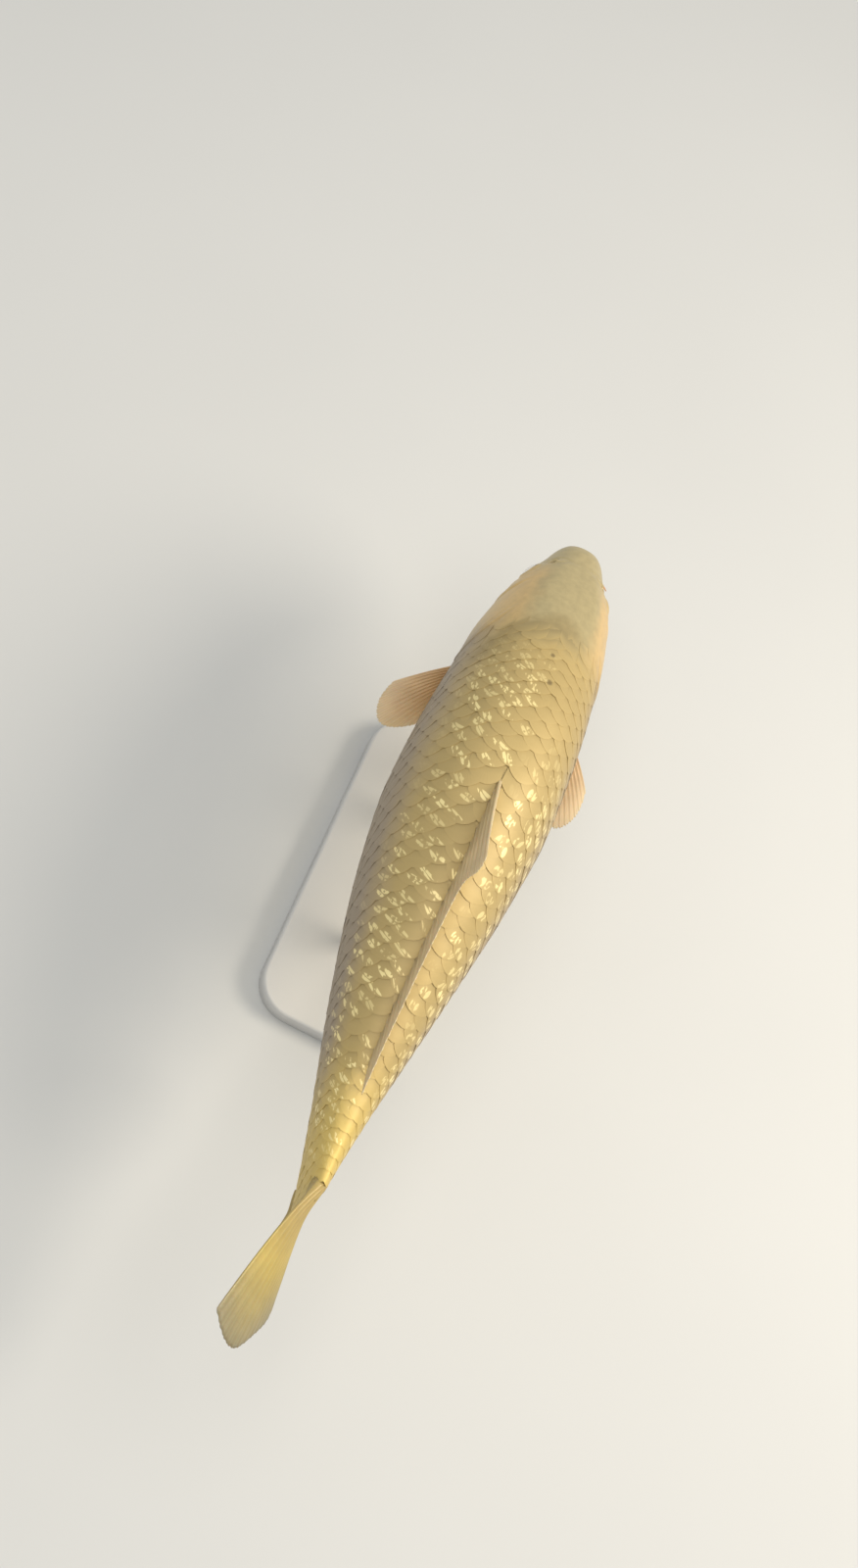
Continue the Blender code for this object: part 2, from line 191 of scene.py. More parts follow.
def place(u, y, z):
    """Metres in the frame, from shares of the body length; the last axis holds x, y and z."""
    u, y, z = np.broadcast_arrays(u, y, z)
    spine = BEND[0] * (u - 0.5) ** 2 + BEND[1] * (u - 0.5) ** 3
    x = (STAND_CENTRE - u) * BODY_LENGTH
    return np.stack([x, (spine + y) * BODY_LENGTH, AXIS_HEIGHT + z * BODY_LENGTH], axis=-1)


def rounding(share):
    """How full the body's section still is, at this share of the way to its edge."""
    return (1 - np.minimum(np.abs(share), 1.0) ** SECTION_POWER) ** (1 / SECTION_POWER)


def side_at(u, z):
    """How far out the body's surface lies, beside the spine, at this height."""
    rise = z - centre(u)
    return half_width(u) * rounding(rise / np.where(rise > 0, back(u), belly(u)))


def section(u, turn):
    """(y, z) of the body's section at u, in shares of its length."""
    across, up = (
        np.copysign(np.abs(part) ** (2 / SECTION_POWER), part) for part in (np.cos(turn), np.sin(turn))
    )
    return half_width(u) * across, centre(u) + np.where(up > 0, back(u), belly(u)) * up


def body_point(u, turn):
    return place(u, *section(u, turn))


def unit(vectors):
    return vectors / np.maximum(np.linalg.norm(vectors, axis=-1, keepdims=True), 1e-12)


def body_normal(u, turn):
    """The outward direction, from small steps along the body and round it."""
    step = 1e-4
    along = body_point(np.minimum(u + step, 1.0), turn) - body_point(np.maximum(u - step, NOSE), turn)
    around = body_point(u, turn + step) - body_point(u, turn - step)
    return unit(np.cross(along, around))


def smooth(value, low, high):
    """0 below low, 1 above high and smooth between."""
    t = np.clip((value - low) / (high - low), 0, 1)
    return t * t * (3 - 2 * t)


def between(value, opens, opened, closes, closed):
    """1 from opened to closes, 0 outside opens and closed, and smooth between."""
    return smooth(value, opens, opened) * (1 - smooth(value, closes, closed))


def hump(distance, width):
    return np.exp(-((distance / width) ** 2))


def gill_edge(z):
    """u of the rear edge of the head at this height: the gill cover's round edge, then the nape."""
    share = np.clip(np.abs(z - GILL_CENTRE[1]) / GILL_RADII[1], 0, 1)
    return np.maximum(GILL_CENTRE[0] + GILL_RADII[0] * np.sqrt(1 - share**2), NAPE)


def at_gill(z):
    """1 at the heights where the gill opening runs, and 0 over the nape and under the throat."""
    return between(z, -0.100, -0.070, 0.052, 0.080)


# ---------------- meshes


def grid_faces(rows, columns, closed=False, ends=False, first=0):
    """Quads of a grid of points numbered row by row.

    closed joins the last column to the first, and ends adds a face over the first and the last row.
    """
    i, j = np.meshgrid(np.arange(rows - 1), np.arange(columns if closed else columns - 1), indexing="ij")
    after = (j + 1) % columns
    corners = (i * columns + j, i * columns + after, (i + 1) * columns + after, (i + 1) * columns + j)
    faces = (np.stack(corners, axis=-1).reshape(-1, 4) + first).tolist()
    if ends:
        faces += [list(range(columns)), list(range((rows - 1) * columns, rows * columns))]
    return faces


def grid_border(rows, columns):
    """(row, column) of each point on a grid's border, once round from its first point."""
    border = [(i, 0) for i in range(rows)] + [(rows - 1, j) for j in range(1, columns)]
    border += [(i, columns - 1) for i in range(rows - 2, -1, -1)]
    return border + [(0, j) for j in range(columns - 2, 0, -1)]


def in_scene(name, data):
    obj = bpy.data.objects.new(name, data)
    bpy.context.scene.collection.objects.link(obj)
    return obj


def new_piece(name, verts, faces, material=None, slot=None, replaces=(), values=None, sharp=None):
    """A smooth mesh object at the origin, with attributes by name and with edges sharp past an angle.

    With a slot it is a finished piece: its poles are closed, its faces turn outwards and it rides on
    the root.
    """
    mesh = bpy.data.meshes.new(name)
    mesh.from_pydata(np.asarray(verts, float).reshape(-1, 3).tolist(), [], faces)
    mesh.update()
    mesh.shade_smooth()
    obj = in_scene(name, mesh)
    if material:
        mesh.materials.append(material)
    for word, column in (values or {}).items():
        column = np.asarray(column, np.float32)
        kind, field = ("FLOAT_VECTOR", "vector") if column.ndim > 1 else ("FLOAT", "value")
        mesh.attributes.new(word, kind, "POINT").data.foreach_set(field, column.ravel())
    if slot:
        bm = bmesh.new()
        bm.from_mesh(mesh)
        bmesh.ops.remove_doubles(bm, verts=bm.verts, dist=1e-6)
        bmesh.ops.recalc_face_normals(bm, faces=bm.faces)
        bm.to_mesh(mesh)
        bm.free()
        finish_piece(obj, slot, *replaces)
    if sharp:
        mesh.set_sharp_from_angle(angle=math.radians(sharp))
    return obj


def finish_piece(obj, slot, *nodes):
    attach(obj, "root")
    if nodes:
        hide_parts(*nodes)


def set_uv(mesh, name, per_vertex):
    """A UV map from one place for each vertex."""
    loops = np.empty(len(mesh.loops), np.int32)
    mesh.loops.foreach_get("vertex_index", loops)
    layer = mesh.uv_layers.new(name=name)
    layer.uv.foreach_set("vector", np.asarray(per_vertex, np.float32)[loops].ravel())


def turned(profile, at, axis=(0, 0, 1), segments=48):
    """Points and faces of a profile of (radius, height) turned about an axis through a place."""
    turn = np.linspace(0, FULL_TURN, segments, endpoint=False)
    radius, height = np.array(profile).T
    ring = np.stack([np.cos(turn), np.sin(turn), np.zeros(segments)], axis=-1)
    verts = radius[:, None, None] * ring + height[:, None, None] * np.array((0, 0, 1))
    spin = np.array(Vector((0, 0, 1)).rotation_difference(Vector(axis)).to_matrix())
    return verts.reshape(-1, 3) @ spin.T + np.array(at), grid_faces(len(profile), segments, closed=True)


# ---------------- settings


def colour_setting(name, about, shade):
    return FloatVectorProperty(name=name, description=about, default=linear(shade), subtype="COLOR", size=3)


def length_setting(name, about, metres):
    return FloatProperty(name=name, description=about, default=metres, unit="LENGTH")


def count_setting(name, about, count):
    return IntProperty(name=name, description=about, default=count, min=4, max=16)


class KoiSkinSettings(bpy.types.PropertyGroup):
    """The skin under the scales, and its colours."""

    coat_depth: length_setting("Coat depth", "How far the skin lies under the scales' outer surface", 0.0013)
    back: colour_setting("Back", "Warm metallic gold along the back", "#bca46b")
    # The flank colour is partly the sides' own tone, partly painted shade: darker and greyer than the back.
    flank: colour_setting("Flank", "Browner gold of the sides", "#a3927a")
    belly: colour_setting("Belly", "Pale cream of the underside", "#dccfa4")
    snout: colour_setting("Snout", "Pale matt skin of the snout and skull", "#bfae7f")
    cheek: colour_setting("Cheek", "Yellow-gold band over the temples and cheeks", "#ddbc80")
    # The nape colour is painted shade: a brown band where the head meets the scales, on the fish's left.
    nape: colour_setting("Nape", "Brown shade where the head meets the scales", "#8f7a4c")
    tail: colour_setting("Tail stalk", "Brighter yellow towards the tail", "#d6ba68")


class KoiScaleSettings(bpy.types.PropertyGroup):
    """The scales."""

    pitch: length_setting("Pitch", "From one scale to the next along a row, at mid-body", 0.0122)
    rows_above: count_setting("Rows above", "Rows from the lateral line to the ridge, ahead of the fin", 9)
    rows_below: count_setting("Rows below", "Rows from the lateral line to the middle of the belly", 8)
    overlap: length_setting("Rise", "How much higher a scale's rear edge lies than its front", 0.00060)
    # The glint colour paints highlights: pale flecks for light glinting off the scales' pearly layer.
    glint: colour_setting("Glint", "Pearly flecks of guanine on each scale", "#fbe7a4")
    seed: IntProperty(name="Seed", description="Picks the scales' small tilts", default=7)


class KoiFinSettings(bpy.types.PropertyGroup):
    """The fins and the barbels."""

    columns: count_setting("Columns for each ray", "Mesh columns from one ray to the next", 8)
    dorsal: colour_setting("Dorsal fin", "Olive brown", "#e6d0a4")
    paired: colour_setting("Paired fins", "Peach gold", "#d8b688")
    tail: colour_setting("Tail fin", "Cream yellow", "#c5af60")
    barbel: colour_setting("Barbels", "Soft pale flesh", "#d3ae80")


class KoiEyeSettings(bpy.types.PropertyGroup):
    """The eyes."""

    pupil: length_setting("Pupil", "Radius of the pupil", 0.0027)
    iris: colour_setting("Iris", "Brassy gold", "#c59a45")


class KoiStudioSettings(bpy.types.PropertyGroup):
    """The floor, the lights and the camera."""

    floor: colour_setting("Floor", "Pale matt floor", "#d2d2cf")
    key: FloatProperty(name="Key light", description="Watts, from the fish's right", default=22.4, min=0.0)
    fill: FloatProperty(name="Fill", description="Strength of the even light", default=0.57, min=0.0)
    lens: FloatProperty(name="Lens", description="Focal length in millimetres", default=54.0, min=10.0)


# ---------------- skin


def above_mouth(u, z):
    """Metres over the mouth's slit, which runs from the front of the snout to the mouth's corner."""
    return (z + (0.0310 + 0.0090 * np.clip(u / 0.043, 0, 1) ** 2)) * BODY_LENGTH


def nostril_pit(u, z, behind, radius):
    """1 in a pit that lies this far behind the middle of the nostril, and 0 outside it."""
    along = (u - NOSTRIL_AT[0]) * BODY_LENGTH - behind
    up = (z - NOSTRIL_AT[1]) * BODY_LENGTH - 0.4 * behind
    return np.exp(-((np.hypot(along, up) / radius) ** 4))


def off_eyeball(u, turn):
    """Metres from the surface of the eyeball on the same side."""
    y, z = section(u, turn)
    deep = side_at(*map(np.array, EYE_AT)) - EYE_SUNK / BODY_LENGTH
    away = np.sqrt((u - EYE_AT[0]) ** 2 + (np.abs(y) - deep) ** 2 + (z - EYE_AT[1]) ** 2)
    return BODY_LENGTH * away - EYE_RADIUS


def body_relief(u, turn, z, behind, coat_depth):
    """Metres by which the skin behind the head stands out from the body's form; it mostly lies under it."""
    # A gentle slope down at the nape, and a step at the gill opening.
    nape_slope = -coat_depth * smooth(behind, 0.0, 0.030)
    gill_step = -0.0022 + (0.0022 - coat_depth) * smooth(behind, 0.002, 0.012)
    beside = at_gill(z)
    # It narrows under the scales that run on over the fin's root, mostly on the left.
    narrower = np.where(np.cos(turn) > 0, 0.0036, 0.0012) * smooth(u, 0.955, 1.0) * np.abs(np.cos(turn))
    return (1 - beside) * nape_slope + beside * gill_step - narrower - 0.0004 * smooth(u, 0.985, 1.0)


def head_relief(u, turn, y, z, ahead):
    """Metres by which the skin of the head stands out from the body's form."""

    def groove(height, width):
        """1 on a line at this height, and 0 away from it; its width is in metres."""
        return hump((z - height) * BODY_LENGTH, width)

    # Gill cover: a thin turned rim, a faint furrow inside it, and a fuller middle.
    rim = 0.0004 * hump(ahead - 0.0015, 0.0014) - 0.0004 * hump(ahead - 0.0050, 0.0018)
    middle = 0.0008 * hump(u - 0.188, 0.026) * hump(z + 0.012, 0.045)
    out = at_gill(z) * (rim - 0.0006 * hump(ahead, 0.0006) + middle)

    # The furrow ahead of the gill cover, curved like a bow, and the furrow that parts its lower plate.
    bow = 0.140 - 5.5 * (z + 0.002) ** 2 - 0.012 * smooth(z, 0.01, 0.05)
    off_bow = (u - bow) * BODY_LENGTH
    furrow = 0.0009 * hump(off_bow, 0.0013) - 0.0005 * hump(off_bow + 0.0045, 0.0030)
    out -= furrow * between(z, -0.082, -0.060, 0.030, 0.055)
    out -= 0.0005 * groove(-0.046 - 0.10 * (u - 0.150), 0.0010) * between(u, 0.142, 0.152, 0.205, 0.225)

    # Folds of the throat under the gill covers.
    for share, depth in ((0.42, 0.0010), (0.60, 0.0007)):
        fold = share * half_width(u) * (1 - 0.5 * smooth(u, 0.12, 0.21))
        under = (1 - smooth(z, -0.060, -0.045)) * smooth(u, 0.060, 0.085)
        out -= depth * hump((np.abs(y) - fold) * BODY_LENGTH, 0.0010) * under

    # Eye: the skin hugs the eyeball with a soft rim, a furrow round it and a brow above.
    off = off_eyeball(u, turn)
    out += 0.0006 * hump(off - 0.0009, 0.0010) - 0.0006 * hump(off - 0.0036, 0.0017)
    out -= 0.0036 * (1 - smooth(off, -0.0007, 0.0001))
    along, up = (u - EYE_AT[0]) * BODY_LENGTH, (z - EYE_AT[1]) * BODY_LENGTH
    out += 0.0010 * hump(along, 0.0090) * hump(up - 0.0098, 0.0034)

    # Nostrils: a front pit with a raised flap behind it, a rear pit, and a furrow round both.
    for behind, depth, radius in NOSTRIL_PITS:
        out -= depth * nostril_pit(u, z, behind, radius)
    along, up = (u - NOSTRIL_AT[0]) * BODY_LENGTH + 0.0009, (z - NOSTRIL_AT[1]) * BODY_LENGTH
    out += 0.0011 * hump(along - 0.2 * up, 0.0006) * hump(up, 0.0017)
    out -= 0.0005 * hump(np.hypot(along, up) - 0.0046, 0.0012)

    # Mouth: the slit, full lips, the folds that frame them and the pad at the corner.
    above = above_mouth(u, z)
    out -= 0.0030 * hump(above, 0.0008) * (1 - smooth(u, 0.043, 0.052))
    lips = 0.0010 * hump(above - 0.0026, 0.0017) + 0.0009 * hump(above + 0.0026, 0.0017)
    out += lips * (1 - smooth(u, 0.034, 0.046))
    out -= 0.0008 * hump(above - 0.0062 + 0.05 * np.maximum(u, 0), 0.0009) * (1 - smooth(u, 0.036, 0.050))
    out -= 0.0006 * hump(above + 0.0058, 0.0009) * (1 - smooth(u, 0.028, 0.040))
    out += 0.0006 * hump(np.hypot(u - 0.047, z + 0.041) * BODY_LENGTH - 0.0030, 0.0016)

    # The jaw's crease back from the mouth's corner, and the bones under the eye.
    out -= 0.0005 * groove(-0.041 - 0.55 * (u - 0.045), 0.0013) * between(u, 0.046, 0.056, 0.100, 0.125)
    under_eye = EYE_AT[1] - 0.034 + 0.30 * np.abs(u - EYE_AT[0])
    out -= 0.0004 * groove(under_eye, 0.0012) * between(u, 0.045, 0.065, 0.110, 0.135)

    # Skull: a soft ridge over each eye, and a shallow dip between.
    top = smooth(np.sin(turn), 0.45, 0.75) * between(u, 0.035, 0.065, 0.135, 0.165)
    out += 0.0006 * hump((np.abs(y) - 0.46 * half_width(u)) * BODY_LENGTH, 0.0050) * top
    return out - 0.0004 * hump(y * BODY_LENGTH, 0.0040) * top


def skin_markings(tree, here, further=0.0, higher=0.0):
    """The koi's colours by place, for the skin and for the scales: back, flank, belly, head and tail.

    further and higher are how far a point on a scale lies from its root, in body lengths and in rise.
    """
    own = bpy.context.scene.koi_skin
    along, rise = (
        add(tree, "ADD", add(tree, "Attribute", attribute_name=name, out="Fac"), more)
        for name, more in (("along", further), ("rise", higher))
    )
    cloud = add(tree, "TexNoise", {"Vector": here, "Scale": 38.0, "Detail": 3.0})
    rise = add(tree, "ADD", rise, add(tree, "MULTIPLY_ADD", cloud, 0.24, -0.12))
    # Pale belly, browner flanks and gold back; the flanks' darker, greyer tone is partly painted shade.
    stops = ((0.08, own.belly), (0.34, own.flank), (0.62, own.flank), (0.86, own.back))
    colour = add(tree, "ValToRGB", add(tree, "MULTIPLY_ADD", rise, 0.5, 0.5), stops=stops)

    # The head: pale on the snout and skull, a gold band over temple and cheek, painted brown shade behind
    # it.
    pale = past(tree, (rise, -0.75, -0.35))
    pale = add(tree, "Mix", {0: pale, 6: own.belly, 7: own.snout}, **COLOUR_MIX)
    band = past(tree, (rise, -0.45, 0.50), (rise, 0.94, 0.74), (along, 0.045, 0.110))
    head = add(tree, "Mix", {0: band, 6: pale, 7: own.cheek}, **COLOUR_MIX)
    behind = add(tree, "MULTIPLY_ADD", rise, 0.17, along)
    sideways = add(tree, "SeparateXYZ", here, out="Y")
    # Where the nape's painted shade lies: behind the head, high up, fading out towards the fish's right.
    shade = (behind, 0.334, 0.356), (behind, 0.406, 0.362), (rise, 0.40, 0.60), (sideways, -0.030, -0.004)
    layers = [
        (past(tree, (along, 0.80, 0.96)), own.tail),
        (past(tree, (along, 0.246, 0.172)), head),
        (past(tree, *shade, most=0.45), own.nape),
    ]

    # Two small dark spots behind the nape.
    for at, size in ((place(0.244, 0.000, 0.127), 0.0024), (place(0.288, -0.009, 0.138), 0.0030)):
        away = add(tree, "VectorMath", here, at.tolist(), operation="DISTANCE", out="Value")
        layers.append((past(tree, (away, size, 0.4 * size), most=0.6), "#54452c"))
    for share, shade in layers:
        colour = add(tree, "Mix", {0: share, 6: colour, 7: shade}, **COLOUR_MIX)
    return colour


def moist_head_skin():
    """Thin moist skin over the skull: satin, softly metallic from the pigment under it, with fine pores."""
    material, tree = new_material("moist koi skin, pale gold")
    here = add(tree, "TexCoord", out="Object")
    mottle = add(tree, "TexNoise", {"Vector": here, "Scale": 210.0, "Detail": 4.0})
    tint = add(tree, "ValToRGB", mottle, stops=((0.3, 0.86), (0.7, 1.0)))
    colour = {0: 1.0, 6: skin_markings(tree, here), 7: tint}
    colour = add(tree, "Mix", colour, blend_type="MULTIPLY", **COLOUR_MIX)
    # Painted shade in the nostrils, mouth slit, eye sockets and gill opening; then the lips' own colour.
    for name, shade in (("recess_shade", "#4a3620"), ("lips", "#d6b795")):
        share = add(tree, "Attribute", attribute_name=name, out="Fac")
        colour = add(tree, "Mix", {0: share, 6: colour, 7: shade}, **COLOUR_MIX)
    pores = add(tree, "TexVoronoi", {"Vector": here, "Scale": 900.0})
    grain = add(tree, "TexNoise", {"Vector": here, "Scale": 520.0, "Detail": 3.0})
    relief = add(tree, "MULTIPLY_ADD", pores, 0.4, grain)
    add(tree, "OutputMaterial", add(tree, "BsdfPrincipled", {
        "Base Color": colour,
        "Roughness": add(tree, "MapRange", {"Value": mottle, "To Min": 0.34, "To Max": 0.50}),
        "Normal": add(tree, "Bump", {"Height": relief, "Strength": 0.10, "Distance": 0.0004}),
        "Metallic": 0.18,
        "Coat Weight": 0.14,
        "Coat Roughness": 0.25,
    }))
    return material


class KOI_OT_skin(bpy.types.Operator):
    """One skin from the lips to the root of the tail, with the head's folds, gill covers and mouth"""

    bl_idname = "koi.skin"
    bl_label = "Skin"

    def execute(self, context):
        around, head_rings, body_rings = 320, 200, 36
        turn = np.linspace(0, FULL_TURN, around, endpoint=False)
        edge = np.full_like(turn, 0.2)
        for _ in range(30):  # settles on the u where the head ends, for each turn
            edge = 0.5 * (edge + gill_edge(section(edge, turn)[1]))
        head_share = (np.arange(1, head_rings + 1) / head_rings) ** 1.25
        # The last three rings start on the one before them, and are drawn in below.
        body_share = np.array([0.0015, 0.004, 0.008, 0.013, *np.linspace(0.02, 1, body_rings), 1, 1, 1])
        head_u, body_u = NOSE + (edge - NOSE) * head_share[:, None], edge + (1 - edge) * body_share[:, None]
        u = np.concatenate([head_u, body_u])
        turns = np.broadcast_to(turn, u.shape)
        y, z = section(u, turns)
        behind = (u - edge) * BODY_LENGTH
        body = body_relief(u, turns, z, np.maximum(behind, 0), context.scene.koi_skin.coat_depth)
        relief = np.where(behind < 1e-9, head_relief(u, turns, y, z, -behind), body)
        axis = place(u, 0.0, centre(u))
        round_nose = np.sqrt(1 - (1 - np.clip((u - NOSE) / 0.013, 0, 1)) ** 2)
        points = axis + (body_point(u, turns) - axis) * round_nose[..., None]
        points = points + body_normal(u, turns) * relief[..., None]
        # Past the last ring the flesh rounds off into the root of the tail fin.
        end = points[-1].copy()
        middle = end.mean(axis=0)
        for ring, further, wide, high in (
            (-3, 0.0030, 0.88, 0.99),
            (-2, 0.0060, 0.62, 0.97),
            (-1, 0.0085, 0.28, 0.93),
        ):
            points[ring] = middle + (end - middle) * (1, wide, high) - (further, 0, 0)
        poles = [place(NOSE, 0.0, centre(NOSE)), points[-1].mean(axis=0)]
        rings = len(u)
        faces = grid_faces(rings, around, closed=True)
        last = (rings - 1) * around
        for k in range(around):
            after = (k + 1) % around
            faces.append([after, k, rings * around])
            faces.append([last + k, last + after, rings * around + 1])

        # Painted shade for the recesses: nostril pits, the mouth's slit, the eye sockets and the gill
        # opening.
        above = above_mouth(u, z)
        pits = np.maximum(*(nostril_pit(u, z, far, radius) for far, _, radius in NOSTRIL_PITS))
        slit = hump(above, 0.0009) * (1 - smooth(u, 0.043, 0.052))
        socket = 1 - smooth(off_eyeball(u, turns), -0.0006, 0.0)
        gap = at_gill(z) * between(behind, -0.0006, 0.0004, 0.001, 0.008)
        painted_recess_shade = 0.85 * pits + 0.8 * slit + 0.55 * socket + 0.25 * gap
        values = {
            "along": np.append(u, (NOSE, 1.0)),
            "rise": np.append(np.sin(turns), (0, 0)),
            "recess_shade": np.append(np.clip(painted_recess_shade, 0, 1), (0, 0)),
            "lips": np.append(hump(above, 0.0042) * (1 - smooth(u, 0.034, 0.046)), (0, 0)),
        }
        verts = np.concatenate([points.reshape(-1, 3), poles])
        covered = ("head", "lower_jaw", "gill_cover_left", "gill_cover_right", "trunk", "tail_stalk")
        new_piece("koi_skin", verts, faces, moist_head_skin(), "head_skin", covered, values)
        return {"FINISHED"}


# ---------------- scales


def arc_table(u):
    """Turns over one side, past the ridge and the keel, and each one's skin length from the widest line.

    The lengths are in metres, positive upwards, with a row for each u. The lengths to the ridge and to
    the keel follow.
    """
    turn = np.linspace(-math.pi / 2 - PAST_RIDGE, math.pi / 2 + PAST_RIDGE, 161)
    y, z = section(np.minimum(u, 1.0)[:, None], turn[None, :])
    steps = np.hypot(np.diff(y, axis=1), np.diff(z, axis=1)) * BODY_LENGTH
    lengths = np.concatenate([np.zeros((len(u), 1)), np.cumsum(steps, axis=1)], axis=1)
    arc = lengths - lengths[:, [len(turn) // 2]]
    edges = (np.array([np.interp(edge, turn, line) for line in arc]) for edge in (math.pi / 2, -math.pi / 2))
    return turn, arc, *edges


def scale_beds():
    """Where each scale of one side sits, as columns.

    They are its u, its turn, its skin length from the widest line, its row's slope, its length and
    width in metres and its row. Rows end where they meet the ridge or the keel, and a row of
    saddle-like scales runs along each of these where no fin stands.
    """
    own = bpy.context.scene.koi_scales
    u = [0.158]
    while u[-1] < 1.04:
        size = 0.78 + 0.24 * smooth(u[-1], 0.20, 0.42)
        size -= 0.14 * smooth(u[-1], 0.50, 0.65) + 0.18 * smooth(u[-1], 0.72, 1.0)
        u.append(u[-1] + 0.5 * own.pitch * size / BODY_LENGTH)
    u = np.array(u)
    turn, arc, top, bottom = arc_table(u)
    lateral = 0.011 * (1 - smooth(u, 0.24, 0.55))  # height of the lateral line over the widest line
    full = np.minimum(np.arange(len(u)), np.searchsorted(u, DORSAL_FRONT))
    taper = 1 + 0.12 * smooth(u, 0.44, 0.56) - 0.36 * smooth(u, 0.66, 1.0)
    above = (top - lateral)[full] / own.rows_above * taper
    below = (lateral - bottom)[full] / own.rows_below * taper
    rows = []
    for row in range(-own.rows_below, own.rows_above + 1):
        step = above if row >= 0 else below
        rows.append((row, step, lateral + row * step, None))
    rows += [(own.rows_above, above, top, "ridge"), (-own.rows_below, below, bottom, "keel")]

    beds = []
    for row, step, line, saddle in rows:
        slope = np.gradient(line, u * BODY_LENGTH)
        for k, at in enumerate(u[:-2]):
            to_ridge, to_keel = top[k] - line[k], line[k] - bottom[k]
            ahead_of_fin, behind_fin = at <= DORSAL_FRONT, at > DORSAL_REAR
            if saddle:
                kept = behind_fin if saddle == "ridge" else not ahead_of_fin
            elif ahead_of_fin:
                kept = to_ridge > -1e-6 and to_keel > -1e-6
            else:
                kept = to_ridge > (0.45 if behind_fin else 0.22) * step[k] and to_keel > 0.45 * step[k]
            share = line[k] / (top[k] if line[k] > 0 else bottom[k])
            if (row + k) % 2 or not kept or at > 0.984 + 0.044 * (1 - share**2):
                continue
            width = 0.85 * step[k] if saddle else step[k]
            if not (saddle or ahead_of_fin or behind_fin):
                width = min(width, to_ridge + 0.0008)
            length = (u[k + 2] - at) * BODY_LENGTH
            beds.append((at, np.interp(line[k], arc[k], turn), line[k], slope[k], length, width, row))
    return np.array(beds, float).T


def scale_plate():
    """One scale, one pitch long by one row wide, that lies on the z = 0 plane, as a template.

    x runs from its hidden front to its round rear edge, and y from side to side. Its heights are
    shares of the rise from front to rear.
    """
    front, rear = -1.05, 0.5
    share = ((np.array([front, -0.60, -0.25, 0.05, 0.30, rear]) - front) / (rear - front))[:, None]
    across = np.linspace(-1, 1, 8)[None, :]
    x = front + share * (rear - 0.56 * np.abs(across) ** 1.8 - front)
    y = np.broadcast_to(1.04 * across * (1 - 0.10 * np.abs(across) ** 3), x.shape)
    crown = 0.30 * (1 - across**2) * smooth(share, 0.25, 0.80)
    roll = -0.12 * smooth(share, 0.84, 1.0)
    dip = -0.30 * (1 - smooth(share, 0.0, 0.40))
    top = share - 1.0 + crown + roll + dip
    thick = 0.30 + 0.16 * (1 - across**2) * share
    rows, columns = x.shape
    rim = grid_border(rows, columns)
    verts = np.stack([x, y, top], axis=-1).reshape(-1, 3)
    edge = [(x[at], y[at], top[at] - thick[at]) for at in rim]
    faces = [face[::-1] for face in grid_faces(rows, columns)]
    count, first = len(rim), rows * columns
    numbers = [i * columns + j for i, j in rim]
    for k in range(count):
        after = (k + 1) % count
        faces.append([numbers[k], numbers[after], first + after, first + k])
    faces.append([first + k for k in range(count - 1, -1, -1)])
    plate = new_piece("scale plate", np.concatenate([verts, edge]), faces, sharp=50)
    uv = np.stack([share + 0 * x, (across + 1) / 2 + 0 * x], axis=-1)
    set_uv(plate.data, "Plate", np.concatenate([uv.reshape(-1, 2), [uv[at] for at in rim]]))
    return plate


def side_surface(side):
    """One side of the body with an unrolled map: u across it, and skin length from the widest line up it.

    The surface runs on over the root of the tail fin and past the ridge and the keel.
    """
    u = np.concatenate([np.linspace(0.08, 1.0, 170), np.linspace(1.006, 1.08, 12)])
    turn, arc = arc_table(u)[:2]
    held = np.minimum(u, 1.0)[:, None] + 0 * turn
    turns = np.broadcast_to(turn if side > 0 else math.pi - turn, held.shape)
    y, z = section(held, turns)
    y = y * (1 - 0.52 * smooth(u, 1.0, 1.034))[:, None]
    points = place(held, y, z) - np.stack([(u[:, None] - held) * BODY_LENGTH, 0 * held, 0 * held], axis=-1)
    values = {"outward": body_normal(held, turns)}
    surface = new_piece("side of the body", points, grid_faces(len(u), len(turn)), values=values)
    flat = np.stack([u[:, None] + 0 * turn, side * arc / MAP_HEIGHT + 0.5], axis=-1)
    set_uv(surface.data, "Unrolled", flat.reshape(-1, 2))
    return surface


